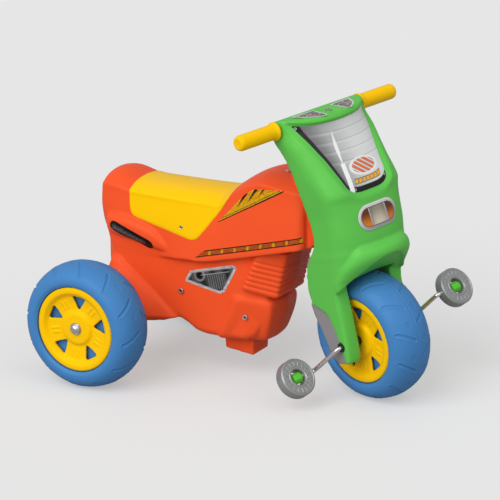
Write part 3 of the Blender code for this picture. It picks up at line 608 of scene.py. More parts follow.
# Levels of the crank case: height, then x and y of its rear, side and front corners, and its nose
CASE_LEVELS = [(75.5, 178, 50, 187, 60, 262, 33, 266), (80, 178, 53, 187, 65, 265, 37, 270),
               (87, 178, 55, 190, 67.5, 268, 40, 274), (141, 200, 58, 222, 68.5, 280, 47.5, 288),
               (148, 200, 57, 226, 67, 279, 46, 287), (154, 200, 56, 229, 61, 274, 42, 281)]


def crank_case():
    rings = []
    for z in np.arange(75.5, 154.1, 1.3):
        x0, y0, x1, y1, x2, y2, x3 = [float(smooth([(row[0], row[k]) for row in CASE_LEVELS], z))
                                      for k in range(1, 8)]
        path, _ = rounded_path([(x0, y0), (x1, y1), (x2, y2), (x3, 0), (x2, -y2), (x1, -y1),
                                (x0, -y0)], 4)
        path = resampled(path, np.linspace(0, 1, len(path)), np.linspace(0, 1, 200))
        rise = 0.13 * np.maximum(x2 - path[:, 0], 0) * float(eased(z, 100, 150))
        rings.append(np.column_stack([path, z + rise]))
    return closed_form(np.stack(rings), BODY)


def belly_stub():
    foot = [(177.5, -27, 46.5), (233.5, -27, 41), (233.5, 27, 41), (177.5, 27, 46.5)]
    root = [(176, -29, 90), (236, -29, 90), (236, 29, 90), (176, 29, 90)]
    return closed_form(np.array([foot, root], float), BODY)


def steering_head():
    """Rounded block round the column, in the fork's frame with the fork straight ahead."""
    share = np.linspace(0, 1, 60)[:, None]
    angle = (circle(120) + math.pi / 120)[None, :]
    c, s = np.cos(angle), np.sin(angle)
    shrink = 10 * (share - 0.5) ** 2
    x = (np.where(c > 0, 42, 66) - shrink) * bulged(c, 2.5)
    y = (64 - shrink) * bulged(s, 2.5)
    z = 176 + share * (280 - 0.287 * x - 176)
    return closed_form(np.stack([x, y, z], axis=-1), STRAIGHT_FORK)


def neck():
    """Short throat that closes the space between the flanks and the steering head."""
    outline = [(335, 268), (352, 260), (362, 262), (375, 286), (380, 330), (335, 340)]
    rings = [[(x, y, z) for x, z in outline] for y in (-57.0, 57.0)]
    return closed_form(np.array(rings, float), BODY)


forms = [upper_body(), lower_body(), axle_arm(1), axle_arm(-1), nacelle(1), nacelle(-1),
         fin_block(False), crank_case(), belly_stub(), neck(), steering_head()]
body = finish(moulded("body", forms, voxel=2.3, rounds=4), RED, "body", "body_shell")
finish(moulded("cylinder_fins", [fin_block(True)], voxel=1.2, rounds=2), RED, "body", "body_shell")

# %% [markdown]
# ## The saddle
#
# The saddle is a yellow cover let into the shell: it follows the same curves as the body, stands a
# little proud of it and has a rounded edge. Its outline is measured on the flank, so the outline is
# first carried onto the body's own two parameters. The cover is then a polar grid: rings that shrink
# from the outline to a middle point, lifted along the body's normal.

# %% Saddle
SADDLE_OUTLINE = [(5, 345), (6, 316), (8, 286), (10.5, 275), (17, 269), (64, 258.5), (113, 248.5),
                  (134, 244.5), (145, 247), (153, 255), (177, 286), (195, 310), (205, 326), (208, 350)]
SADDLE_LIFT = 1.7
SADDLE_EDGE = 2.4
SADDLE_MIDDLE = (105.0, 0.5)    # x and s of the point that the rings shrink to


def saddle_outline():
    """The outline as (x, s): at each point the s whose height is the outline's."""
    path, _ = rounded_path(SADDLE_OUTLINE, 4)
    trial = np.linspace(0, 0.5, 400)[None, :]
    heights = upper_point(path[:, :1], trial)[..., 2]
    above = heights >= path[:, 1:2]
    first = np.where(above.any(axis=1), above.argmax(axis=1), 399)
    s = trial[0, np.maximum(first, 1)]
    keep = s < 0.4995
    x, s = path[keep, 0], s[keep]
    return np.concatenate([x, x[::-1]]), np.concatenate([s, 1 - s[::-1]])


def saddle():
    x, s = saddle_outline()
    middle_x, middle_s = SADDLE_MIDDLE
    edge = upper_point(x, s)
    reach = np.linalg.norm(edge - upper_point(middle_x, middle_s), axis=-1)
    shares = np.concatenate([np.linspace(0, 0.9, 46), np.linspace(0.9, 1, 30)[1:]])
    ring_x = middle_x + shares[:, None] * (x - middle_x)
    ring_s = middle_s + shares[:, None] * (s - middle_s)
    inward = (1 - shares[:, None]) * reach
    corner = np.clip(SADDLE_EDGE - inward, 0, SADDLE_EDGE)
    lift = SADDLE_LIFT - SADDLE_EDGE + np.sqrt(SADDLE_EDGE ** 2 - corner ** 2)
    top = upper_point(ring_x, ring_s) + upper_normal(ring_x, ring_s) * lift[..., None]
    skirt = (edge - 4 * upper_normal(x, s))[None]
    return skin(np.concatenate([top, skirt]), BODY, wrap_columns=True)


piece("saddle", saddle(), 60, YELLOW, "body", "seat")

# %% [markdown]
# ## The fairing
#
# The green front half of the fork runs from the leg ends over the fender lip and the lamp to the
# dash. Across the steering axis each section has a straight rear part, and a rounded front that is a
# superellipse. The table holds the section at each height: the rear edge, where the side starts to
# round, the front, the half width and the roundness. The fender lip is a hood of its own, joined on,
# and the tray of the screen is a change of depth over the plain face.

# %% Fairing
FAIRING = [
    (-30, 4, 6, 11, 74, 4), (-26, 3, 6, 13.5, 76, 4), (0, 0, 9.4, 18, 76, 5), (40, -8, 10, 21, 76, 5),
    (58, -15, 10, 22, 76.5, 5), (80, -45, 10, 26, 77, 4), (92, -45, 12, 38, 77.5, 3.5),
    (106, -44, 16, 52, 78, 3), (120, -41, 20, 63, 78, 2.7), (132, -37, 24, 71, 78.5, 2.5),
    (143, -31, 26, 76, 78.5, 2.4), (155, -22, 28, 80, 79, 2.4), (165, -12, 30, 82, 78.5, 2.4),
    (175, -4, 34, 83.5, 78.5, 2.4), (190, 1, 38, 84, 78.5, 2.5), (215, 2, 40, 84, 79, 2.6),
    (240, 1, 40, 82, 81.5, 3.0), (252, 1, 40, 83, 83, 3.3), (270, 0, 32, 79, 85, 3.1),
    (288, 0, 22, 72.5, 87, 2.9), (315, -4, 14, 62.5, 89, 2.7), (341, -12, 4, 54, 91.5, 2.5),
    (358, -20, -8, 51, 93, 2.3), (370, -24, -15, 50, 94, 2.2), (388, -25, -15, 49, 94, 2.2),
    (400, -25, -14, 46, 92, 2.2)]
FAIRING_WALL = 4.4
LEG_INNER = 49.5
WELL_RADIUS = 115.0
DASH_Z = 393.6
DASH_SLOPE = 0.225
DASH_REAR = 0.12                # its fall to the rear, behind the steering axis
SCREEN_DEPTH = 5.0
SCREEN_FOOT = 249.8
SCREEN_TOP = 369.8
BAR_X, BAR_Z = -8, 378
LIP_Z = 139                     # height of the fender lip's lower edge at its middle
LIP_TIP = 91                    # how far forward that edge is there
VISOR_POWER = 2.05
VISOR_FRONT = [(96, 44), (106, 57), (120, 75), (130, 86), (138, 93), (144, 95.3), (149, 95),
               (154, 92.5), (158, 88.5), (161, 85), (165, 78)]


def dash_fall(x):
    """How far the dash lies under its height at the steering axis: it falls to the front, and less
    steeply to the rear."""
    return np.where(x > 0, DASH_SLOPE * x, -DASH_REAR * x)


def fairing_row(z):
    return [smooth([(row[0], row[k]) for row in FAIRING], z) for k in range(1, 6)]


def fairing_point(z, t, inset=0.0):
    """Outer face: t from 0 at the right flank round the front to 1 at the left flank."""
    z, t = np.broadcast_arrays(np.asarray(z, float), np.asarray(t, float))
    _, start, front, half, power = fairing_row(z)
    angle = math.pi * (t - 0.5)
    x = start + (front - inset - start) * bulged(np.maximum(np.cos(angle), 0), power)
    y = (half - inset) * bulged(np.sin(angle), power)
    return np.stack([x, y, z], axis=-1)


def screen_half(z):
    return 47.1 + 0.238 * (z - 266) + 0.1 * np.maximum(z - 310, 0)


def screen_foot(y):
    """How much higher than at its middle the screen's rounded foot is."""
    return 12 * (y / 47) ** 4


def screen_top(y):
    return SCREEN_TOP + 0.0019 * y ** 2


def fairing_relief(z, t):
    """How deep the true face lies under the plain one: a tray with a raised edge for the screen."""
    y = fairing_point(z, t)[..., 1]
    edge = np.minimum(np.minimum(screen_half(z) - np.abs(y), screen_top(y) - z),
                      z - SCREEN_FOOT - screen_foot(y))
    return SCREEN_DEPTH * eased(edge, -9.5, 0.5) - 0.9 * np.exp(-((edge + 13) / 4.5) ** 2)


def visor():
    """The fender lip's hood. At each height it starts on the plain face along a line that climbs
    to the front, and swells out before it as a superellipse."""
    z = np.arange(96.5, 165, 1.5)[:, None]
    line_x = np.maximum((z - 79) / 1.136, 26.0)
    _, start, front, half, power = fairing_row(z)
    share = np.clip((line_x - start) / (front - start), 0, 0.995)
    side = half * (1 - share ** power) ** (1 / power) + 1.4
    angle = np.linspace(-math.pi / 2, math.pi / 2, 121)[None, :]
    x = line_x + (smooth(VISOR_FRONT, z) - line_x) * bulged(np.maximum(np.cos(angle), 0), VISOR_POWER)
    hood = np.stack([x, side * bulged(np.sin(angle), VISOR_POWER), z + 0 * x], axis=-1)
    back = np.stack([line_x - 14, side - 9, z], axis=-1)
    return closed_form(np.concatenate([back * (1, -1, 1), hood, back], axis=1), FORK)


def fairing_form(z, inset=0.0, behind=0.0, top_from=None):
    """Closed form between the first and last height: the front arc and a straight back. Over the
    height top_from the levels lean forward, until the last one has the slope of the dash."""
    z = np.asarray(z, float)[:, None]
    inset = np.asarray(inset, float)
    inset = inset[:, None] if inset.ndim else inset
    share = np.linspace(0, 1, 145)[None, :]
    t = 0.5 - 0.5 * np.cos(math.pi * share) * (0.6 + 0.4 * np.abs(1 - 2 * share))
    arc = fairing_point(z, t, inset if behind else fairing_relief(z, t))
    rear, _, _, half, _ = fairing_row(z)
    right = np.stack([rear - behind, -(half - inset) + 0 * rear, z], axis=-1)
    points = np.concatenate([right, arc, right * (1, -1, 1)], axis=1)
    if top_from:
        lean = eased(points[..., 2], top_from, z[-1, 0]) ** 0.5
        points[..., 2] -= lean * dash_fall(points[..., 0])
    return closed_form(points, FORK)


def prism(outline, low, high, where):
    """Side outline of (x, z) points carried across from y = low to y = high."""
    outline = np.array(outline, float)
    rings = [np.column_stack([outline[:, 0], np.full(len(outline), y), outline[:, 1]])
             for y in (low, high)]
    return closed_form(np.stack(rings), where)


def wheel_well(half_width):
    """Room for the tyre between the legs."""
    angle = np.radians(np.arange(20, 271, 4))
    roof = list(zip(WELL_RADIUS * np.cos(angle), WELL_RADIUS * np.sin(angle)))
    return prism([(120, -130), (120, 30)] + roof + [(0, -130)], -half_width, half_width, FORK)


def under_lip():
    """What is taken away under the fender lip: the space before the legs, with a roof that falls
    from the lip's edge back to the legs' front."""
    x = np.linspace(21.5, 130, 60)[:, None]
    y = np.linspace(-92, 92, 93)[None, :]
    edge_x, edge_z = LIP_TIP - 0.0128 * y ** 2, LIP_Z - 0.0080 * y ** 2
    roof = edge_z - 0.52 * np.maximum(edge_x - x, 0)
    top = np.stack([x + 0 * y, y + 0 * x, roof], axis=-1)
    low = top[:, ::-1] * (1, 1, 0) + (0, 0, -60)
    return closed_form(np.concatenate([top, low], axis=1), FORK)


def rod(radius, half_length, where, x=0.0, z=0.0):
    """Round rod across the frame, for a hole."""
    y = np.array([-half_length, half_length], float)[:, None]
    return closed_form(revolved(radius, y, circle(48)[None, :]) + (x, 0, z), where)


heights = np.array([131, 140, 150, 162, 175, 190, 215, 232, 244, 270, 300, 341, 358, 372, 380,
                    DASH_Z - FAIRING_WALL])
insets = FAIRING_WALL + SCREEN_DEPTH * eased(heights, 225, 245)
room = fairing_form(heights, insets, behind=40, top_from=360)
seat_of_rear_half = prism([(-70, 50), (-2.5, 50), (-2.5, 135), (-70, 135)], -73.0, 73.0, FORK)
clamp_recess = prism([(9, 390.0), (43, 382.4), (43, 420), (9, 420)], -10, 10, FORK)
wheel_room, crank_hole = wheel_well(LEG_INNER), rod(8.0, 90, FORK)
fairing_cuts = [room, seat_of_rear_half, wheel_room, under_lip(), crank_hole,
                rod(9.8, 110, FORK, BAR_X, BAR_Z), clamp_recess]
levels = np.concatenate([np.arange(-30.0, 370, 2.5), np.arange(370, 393.4, 1.6), [DASH_Z]])
finish(moulded("fairing", [fairing_form(levels, top_from=372)], voxel=2.1, rounds=3,
               cutters=fairing_cuts, added=[visor()]), GREEN, "fork", "fork_fairing")

# %% [markdown]
# ## The grey rear half of the fork
#
# Behind the legs and under the steering head sits a darker half shell. It is one side outline carried
# across and cut by the wheel's room.

# %% Rear half of the fork
BACK_OUTLINE = [(3.3, -30), (-18, -30), (-27, -22), (-34, -5), (-40, 25), (-50, 55), (-52, 76),
                (-41, 84), (-41, 140), (-30, 156), (-18, 161), (26, 161), (28, 117.5), (-3, 117.5),
                (-3, 50.5), (-13, 50.5), (-9, 40), (-0.8, 0)]
finish(moulded("fork_back_shell", [prism(BACK_OUTLINE, -73, 73, FORK)], voxel=2.0, rounds=3,
               cutters=[wheel_room, crank_hole]), GREY, "fork", "fork_back")

# %% [markdown]
# ## The tyres
#
# Each tyre is blow moulded too. Its section is a superellipse, turned round the axle. The tread is
# cut into it as height differences: a fine parting line round the middle, twelve slanted slots on
# each shoulder and a small oval mark between them. Heights are worked out over the whole grid from
# the distance to each slot's middle line.

# %% Tyre
TYRE_HALF = 43.0
TYRE_POWER = 2.1
TYRE_WIDEST = 82.0
TYRE_FOOT = 75.4
BARS = 12
BAR_HALF_WIDTH = 2.6
BAR_DEPTH = 1.5
ARC = math.radians(1) * 104     # millimetres per degree where the bars are


def slot_depth(distance, half_width, depth):
    """A groove with sloping sides and a slightly raised lip beside it."""
    groove = -depth * (1 - eased(distance, half_width - 0.9, half_width + 0.7))
    lip = 0.6 * np.exp(-((distance - half_width - 1.2) / 0.8) ** 2)
    return groove + lip


def to_segment(a, b, start, end):
    """Distance from the points (a, b) to the segment between start and end."""
    start, end = np.array(start, float), np.array(end, float)
    way = end - start
    t = np.clip(((a - start[0]) * way[0] + (b - start[1]) * way[1]) / (way @ way), 0, 1)
    return np.hypot(a - start[0] - t * way[0], b - start[1] - t * way[1])


def tyre_heights(angle, y, slant, phase):
    """Tread relief at each angle in degrees and each y. Slots lean by slant degrees towards the rim."""
    pitch = 360 / BARS
    relief = 0.6 * np.exp(-((np.abs(y) - 2.6) / 0.8) ** 2) - 0.5 * np.exp(-(y / 1.3) ** 2)
    relief = relief * (np.abs(y) < 8)
    for side in (-1, 1):
        start = phase + (0 if side < 0 else pitch / 2)
        local = (angle - start + pitch / 2) % pitch - pitch / 2
        mark = (angle - start) % pitch - pitch / 2
        across = side * y
        bar = to_segment(local * ARC, across, (0, 7.5), (slant * ARC, 35.5))
        oval = np.abs(np.hypot(mark * ARC * 0.8, (across - 13.5) * 1.15) - 3.0)
        cut = slot_depth(bar, BAR_HALF_WIDTH, BAR_DEPTH)
        small = -0.9 * (1 - eased(oval, 0.4, 1.4))
        relief = relief + np.where(across > 3, cut + small, 0)
    return relief


def tyre(where, slant, phase):
    """Section round the hub: outer superellipse from the rim seat over the tread and back."""
    half = np.linspace(0, math.pi, 120)
    y = -TYRE_HALF * bulged(np.cos(half), TYRE_POWER)
    r = TYRE_WIDEST + (WHEEL_RADIUS - TYRE_WIDEST) * np.abs(bulged(np.sin(half), TYRE_POWER))
    foot = np.array([(TYRE_FOOT, 39.7), (76.4, 40.3), (78.5, 42.0), (80.5, 42.8)])
    inner = np.array([(TYRE_FOOT, 34.8), (68.5, 34.8), (68.5, 30)])
    y = np.concatenate([-foot[:, 1], y, foot[::-1, 1]])
    r = np.concatenate([foot[:, 0], r, foot[::-1, 0]])
    angle = np.linspace(0, 360, 400, endpoint=False)
    relief = tyre_heights(angle[:, None], y[None, :], slant, phase)
    ahead_y, ahead_r = np.gradient(y), np.gradient(r)
    length = np.hypot(ahead_y, ahead_r)
    normal_y, normal_r = -ahead_r / length, ahead_y / length
    y = y[None, :] + normal_y * relief
    r = r[None, :] + normal_r * relief
    ones = np.ones((len(angle), 1))
    y = np.hstack([-inner[::-1, 1] * ones, y, inner[:, 1] * ones])
    r = np.hstack([inner[::-1, 0] * ones, r, inner[:, 0] * ones])
    return skin(revolved(r, y, np.radians(angle)[:, None]), where, wrap_rows=True, wrap_columns=True)


for name, where, slant, phase, body_name, cad_node in (
        ("front_tyre", FORK, 9.5, -5.0, "front_wheel", "tyre_front"),
        ("rear_tyre_right", REAR_RIGHT, -10.0, 2.5, "rear_wheel_right", "tyre_rear_right"),
        ("rear_tyre_left", REAR_LEFT, -10.0, 2.5, "rear_wheel_left", "tyre_rear_left")):
    obj = piece(name, tyre(where, slant, phase), 50, BLUE, body_name, cad_node)
    print(f"{name}: {len(obj.data.polygons)} faces")

# %% [markdown]
# ## The hubs
#
# A half hub is a yellow dish: a raised rim lip, a web that falls towards the middle, a boss, and
# five windows that are rounded triangles. The dish is a turned profile, and the windows are cut
# before the remesh, which gives them their small radii.

# %% Half hub
HUB_PROFILE = [(5.3, 2), (5.3, 33), (7.0, 34), (24, 34), (27.5, 33), (30, 30), (33, 29), (44, 29.5),
               (57, 32), (61, 36), (63, 38.6), (66, 39.3), (71, 39.2), (73.3, 38.4), (74.3, 36.5),
               (74.3, 35.2), (67.4, 35), (67.4, 1), (64, 1), (62.5, 26), (56, 27), (44, 25.5), (30, 25),
               (14, 24), (12.5, 2)]
WINDOW_MIDDLE = 46.0


def turned(profile, where):
    """Closed profile of (radius, y) points carried round the y axis."""
    r, y = np.array(profile, float).T
    return skin(revolved(r, y, circle(120)[:, None]), where, wrap_rows=True, wrap_columns=True)


def outwards(direction, out, side, height):
    """Points of a wheel: out along a direction in degrees, to one side of it, and in height."""
    a = math.radians(direction)
    out, side, height = np.broadcast_arrays(out, side, height)
    return np.stack([out * math.cos(a) - side * math.sin(a), height,
                     out * math.sin(a) + side * math.cos(a)], axis=-1)


def window_cutter(direction, where):
    """Rounded triangle through the web, its point towards the boss."""
    corners = np.array([(-15.0, 0), (10.5, 14.5), (10.5, -14.5), (-15.0, 0)])
    path = resampled(corners, np.arange(4), np.arange(60) / 20)
    out, side = blurred(path, 2.7, 6, closed=True).T
    height = np.array([18.0, 45.0])[:, None]
    return closed_form(outwards(direction, out + WINDOW_MIDDLE, side, height), where)


def spoke_rib(direction, offset, where):
    """Thin raised line on a spoke between two windows."""
    share = np.linspace(0, 1, 24)[:, None]
    angle = circle(12)[None, :]
    r = 1.5 * np.sqrt(np.clip(1 - (2 * share - 1) ** 6, 0.01, 1))
    return closed_form(outwards(direction, 36 + 17 * share, offset + r * np.cos(angle),
                                29.2 + 2.0 * share + r * np.sin(angle)), where)


def half_hub(name, where, first_window, voxel):
    cutters = [window_cutter(first_window + 72 * k, where) for k in range(5)]
    ribs = [spoke_rib(first_window + 36 + 72 * k, offset, where) for k in range(5)
            for offset in (-3.9, 3.9)]
    return moulded(name, [turned(HUB_PROFILE, where)] + ribs, voxel, 3, cutters)


FLIP = turn("Z", 180)
half_hubs = [
    ("rear_hub_right_outer", REAR_RIGHT @ FLIP, 167.5, "rear_wheel_right", "hub_rear_right_outer", 1.45),
    ("rear_hub_right_inner", REAR_RIGHT, 12.5, "rear_wheel_right", "hub_rear_right_inner", 1.9),
    ("rear_hub_left_outer", REAR_LEFT, 12.5, "rear_wheel_left", "hub_rear_left_outer", 1.45),
    ("rear_hub_left_inner", REAR_LEFT @ FLIP, 167.5, "rear_wheel_left", "hub_rear_left_inner", 1.9),
    ("front_hub_right", FORK @ FLIP, 172.5, "front_wheel", "hub_front_right", 1.45),
    ("front_hub_left", FORK, 7.5, "front_wheel", "hub_front_left", 1.45)]
for name, where, first, body_name, cad_node, voxel in half_hubs:
    finish(half_hub(name, where, first, voxel), YELLOW, body_name, cad_node)

# %% [markdown]
# Behind the windows the blue of the tyre's own web shows. It is a shallow blue disc inside each
# wheel, clear of the hub's two webs.

# %% Blue web inside each wheel
WEB_PROFILE = [(13.2, -19), (61.5, -22.5), (63.4, -18), (63.4, 18), (61.5, 22.5), (13.2, 19)]
for name, where, body_name in (("front_wheel_web", FORK, "front_wheel"),
                               ("rear_wheel_web_right", REAR_RIGHT, "rear_wheel_right"),
                               ("rear_wheel_web_left", REAR_LEFT, "rear_wheel_left")):
    piece(name, turned(WEB_PROFILE, where), 50, BLUE, body_name)

# %% [markdown]
# ## The pedals
#
# A pedal is a thick ring on a rod. Its faces have a raised rim outside and inside and a row of short
# raised bars between them. The relief is again a height over the turned grid.

# %% Pedals
PEDAL_RADIUS = 33.0
PEDAL_HOLE = 13.8
PEDAL_HALF = 10.5
PEDAL_MARKS = 18
CRANK_X, CRANK_Z = 50.88, 31.8  # from the wheel's centre to the left pedal
PEDAL_AT = {"right": (-CRANK_X, -144.0, -CRANK_Z), "left": (CRANK_X, 157.0, CRANK_Z)}
PEDAL_TILT = 22.0


def pedal(where):
    """Ring about the y axis: profile from the hole over one face, the rim and the other face."""
    r = np.linspace(PEDAL_HOLE + 1.2, PEDAL_RADIUS - 2.4, 58)
    angle = np.linspace(0, 360, 306, endpoint=False)[:, None]
    outer_rim = 1 - eased(np.abs(r - 30.0), 0.5, 1.5)
    inner_rim = 1 - eased(np.abs(r - 16.8), 0.7, 1.7)
    pitch = 360 / PEDAL_MARKS
    arc = np.radians((angle + pitch / 2) % pitch - pitch / 2) * r[None, :]
    mark = 1 - eased(to_segment(arc, r[None, :] + 0 * arc, (0, 21.0), (0, 26.2)), 0.7, 1.5)
    face = PEDAL_HALF - 0.9 + 0.8 * outer_rim + 0.8 * inner_rim + 0.75 * mark
    rim = np.linspace(math.pi / 2, 0, 10)[None, 1:-1]
    rim_r = PEDAL_RADIUS - 2.4 + 2.4 * np.cos(rim) + 0 * angle
    rim_y = PEDAL_HALF - 3.1 + 2.2 * np.sin(rim) + 0 * angle
    hole = np.linspace(math.pi / 2, 0, 8)[None, :]
    hole_r = PEDAL_HOLE + 1.2 * (1 - np.sin(hole)) + 0 * angle
    hole_y = PEDAL_HALF - 2.1 + 1.2 * np.cos(hole) + 0 * angle
    upper_r = np.hstack([hole_r, r[None, :] + 0 * angle, rim_r])
    upper_y = np.hstack([hole_y, face, rim_y])
    points = revolved(np.hstack([upper_r, upper_r[:, ::-1]]), np.hstack([upper_y, -upper_y[:, ::-1]]),
                      np.radians(angle))
    return skin(points, where, wrap_rows=True, wrap_columns=True)


def fluted_plug(radius, half, where, flutes=8):
    """Short cap: a cylinder whose radius swells and sinks a little round it."""
    angle = circle(128)[None, :]
    shape = radius * (1 - 0.045 * (1 - np.cos(flutes * angle)) / 2)
    ends = np.array([(0.78, 1), (0.86, 0.98), (0.93, 0.94), (0.98, 0.86), (1, 0.76)])
    scale, place = np.vstack([ends * (1, -1), [(1, 0)], ends[::-1]]).T[..., None]
    return closed_form(revolved(shape * scale, half * place, angle), where)


for label, place in PEDAL_AT.items():
    facing = FORK @ move(*place) @ turn("Y", -PEDAL_TILT) @ turn("Z", -90)
    piece(f"{label}_pedal_block", pedal(facing), 50, SILVER_PEDAL, f"{label}_pedal", f"pedal_{label}")
for label, place in PEDAL_AT.items():
    plug = fluted_plug(9.5, 9.0, FORK @ move(*place))
    piece(f"{label}_pedal_plug", plug, 40, LIME, "front_wheel", f"pedal_cap_{label}")

# %% [markdown]
# ## The crank rod
#
# One steel rod is axle and both cranks. It is a round tube along a smooth path, bright plated.

# %% Crank
CRANK_SHARE = [(0, 0), (84, 0), (87, 0.02), (91, 0.10), (106, 0.88), (109.5, 0.975), (114, 1),
               (155.5, 1)]      # how far along y the rod has gone over to the pedal's place


def tube(path, radius, where):
    """Circle carried along a path, with its frame kept upright against the x axis."""
    way = np.gradient(path, axis=0)
    way /= np.linalg.norm(way, axis=1, keepdims=True)
    side = np.cross(way, np.array([0.6, 0.0, -0.8]))
    side /= np.linalg.norm(side, axis=1, keepdims=True)
    up = np.cross(side, way)
    angle = circle(32)[None, :, None]
    ring = np.cos(angle) * side[:, None] + np.sin(angle) * up[:, None]
    return closed_form(path[:, None] + radius * ring, where)


half_y = np.linspace(0, 155.5, 260)
share = smooth(CRANK_SHARE, half_y)
half = np.column_stack([share * CRANK_X, half_y, share * CRANK_Z])
rod_path = np.vstack([-half[:0:-1], half]) + (0, 6.5, 0)
piece("crank_rod", tube(rod_path, 3.8, FORK), 50, CHROME, "front_wheel", "crank")

# %% [markdown]
# ## Grips
#
# Each grip is a turned sleeve with a flange against the fairing and a closed, slightly dished end.

# %% Grips
GRIP_PROFILE = [(9.8, 94.3), (14.8, 94.3), (15.7, 95.2), (15.9, 97.0), (15.5, 98.6), (14.6, 99.6),
                (13.7, 100.4), (13.3, 102.5), (13.2, 110), (13.2, 168), (13.0, 171.5), (12.2, 174.3),
                (10.8, 176.1), (8.8, 177.0), (7.0, 177.2), (6.2, 176.9), (5.4, 176.7), (0.0, 176.7)]


def lathe(profile, where):
    """Open profile that ends on the y axis, carried round it, with a flat cap on its first ring."""
    r, y = np.array(profile, float).T[..., None]
    return closed_form(revolved(r, y, circle(96)[None, :]), where)


BAR = FORK @ move(BAR_X, 0, BAR_Z)
for label, where in (("left", BAR), ("right", BAR @ FLIP)):
    piece(f"{label}_grip", lathe(GRIP_PROFILE, where), 40, YELLOW, "fork", f"grip_{label}")

# %% [markdown]
# ## Printed film
#
# The screen, the lamp, the gauges and the body's decals are printed films. Each is a thin plate that
# follows the surface under it, with a fine grid, and its print is worked out as a colour for every
# grid point from that point's place on the film: bars, rings and lines by their distances. The
# colours are kept in an attribute called Paint, which the film's material reads.

# %% Printing tools
FILM_THICKNESS = 0.25
BLACK_INK = (0.012, 0.012, 0.014)
WHITE_INK = (0.86, 0.87, 0.87)


def sheet(x, colour):
    """Plain print of one colour, of the shape of x."""
    return np.zeros(x.shape + (3,)) + colour


def ink(base, mask, colour):
    """Lays a colour, or a colour for each point, over base where mask is 1."""
    return base + np.clip(mask, 0, 1)[..., None] * (np.array(colour, float) - base)


def band(value, low, high, soft=0.35):
    """1 between low and high, with soft edges."""
    return eased(value, low - soft, low + soft) * (1 - eased(value, high - soft, high + soft))


def zigzag(value, pitch):
    """0 in the middle of each pitch and 1 at its ends."""
    return np.abs((value / pitch) % 1 - 0.5) * 2


def film(name, points, colours, where, body_name, *replaced, slot_name=None):
    """Thin plate over a grid of points with a colour for each point."""
    rows, columns = points.shape[:2]
    mesh = bpy.data.meshes.new(name)
    mesh.from_pydata(placed(points.reshape(-1, 3), where).tolist(), [], quads(rows, columns))
    paint = mesh.attributes.new("Paint", "FLOAT_COLOR", "POINT")
    rgba = np.concatenate([colours.reshape(-1, 3), np.ones((rows * columns, 1))], axis=1)
    paint.data.foreach_set("color", rgba.astype(np.float32).ravel())
    obj = as_object(name, mesh)
    plate = obj.modifiers.new("thickness", "SOLIDIFY")
    plate.thickness = FILM_THICKNESS * MM
    plate.offset = 0.0
    apply_modifiers(obj)
    smooth_shading(obj, 40)
    finish(obj, PRINT, body_name, *replaced)
    return obj


# %% [markdown]
# ## The screen
#
# The screen lies in the fairing's tray. Its print is a silver sheet with bowed lines, a black frame
# at the left and the foot, a bright streak, and a barred badge over a row of small blocks.

# %% Screen


def screen_grid():
    """Grid of rows between the outline's foot and top, each row between its sloped sides."""
    across = np.linspace(-1, 1, 210)[None, :]
    up = np.linspace(0, 1, 190)[:, None]
    y = across * screen_half(SCREEN_FOOT + up * (SCREEN_TOP - SCREEN_FOOT))
    foot = SCREEN_FOOT + screen_foot(y) * (1 - up) ** 2
    z = foot + up * (screen_top(y) - foot)
    y = across * screen_half(z)
    half, power = fairing_row(z)[3:]
    s = np.clip(np.abs(y) / (half - SCREEN_DEPTH), 0, 1) ** (power / 2)
    t = 0.5 + np.sign(y) * np.arcsin(s) / math.pi
    return fairing_point(z, t, SCREEN_DEPTH - 0.5), across + 0 * up


BOLTS = ((-30, 256), (41, 264), (-60, 311), (-76, 375))
BADGE = (8, 289)


def screen_print(points, across):
    y, z = points[..., 1], points[..., 2]
    shade = 0.30 + 0.40 * eased(y, -62, 22) - 0.14 * eased(y, 44, 84)
    base = np.stack([shade * 0.985, shade * 1.01, shade], axis=-1)

    bow = z - 0.0012 * (y - BADGE[0]) ** 2
    for height in (303, 320.5, 337, 354):
        base = ink(base, 0.7 * band(bow, height - 0.35, height + 0.35, 0.25), (0.17, 0.18, 0.19))
        base = ink(base, 0.25 * band(bow, height - 5, height - 0.6, 1.5), (0.80, 0.81, 0.81))
    left = (across + 1) * 60
    base = ink(base, 0.72 * (1 - eased(left, 4, 34)), (0.10, 0.09, 0.10))
    base = ink(base, 1 - eased(left, 7.5, 8.3), BLACK_INK)
    base = ink(base, eased(across, 0.962, 0.975) * eased(-z, -352, -320), BLACK_INK)
    foot = z - SCREEN_FOOT - screen_foot(y)
    base = ink(base, 1 - eased(foot, 8.6, 9.4), BLACK_INK)
    for bolt_y, bolt_z in BOLTS:
        ring = np.hypot(y - bolt_y, z - bolt_z)
        base = ink(base, band(ring, 1.2, 2.1, 0.25), (0.55, 0.55, 0.56))

    glare = -35.2 + (z - 262) * 0.125
    upper = 2.7 * eased(z, 296, 326) * (1 - eased(z, 328, 358)) + 0.6
    width = np.where(z > 301, upper, 4.3)
    base = ink(base, band(y, glare - width, glare + width, 0.6) * (1 - eased(z, 350, 358)), WHITE_INK)

    from_y, from_z = y - BADGE[0], z - BADGE[1]
    badge = np.hypot(from_y / 31, from_z / 15)
    base = ink(base, band(badge, 0.0, 1.0, 0.03), (0.80, 0.81, 0.80))
    bars = zigzag(from_y * 0.8 + from_z * 0.9, 9.5)
    inside = 1 - eased(badge, 0.78, 0.82)
    base = ink(base, inside * (1 - eased(bars, 0.42, 0.5)), (0.83, 0.13, 0.02))
    base = ink(base, inside * band(bars, 0.52, 0.72, 0.05), BLACK_INK)

    row = foot - 17.5
    for block in range(7):
        square = np.maximum(np.abs(y - row * 0.25 + 21 - 8.6 * block) / 3.0, np.abs(row) / 3.6)
        base = ink(base, 1 - eased(square, 1.25, 1.35), (0.16, 0.10, 0.03))
        base = ink(base, 1 - eased(square, 0.88, 0.98), (0.92, 0.44, 0.02))
    return base


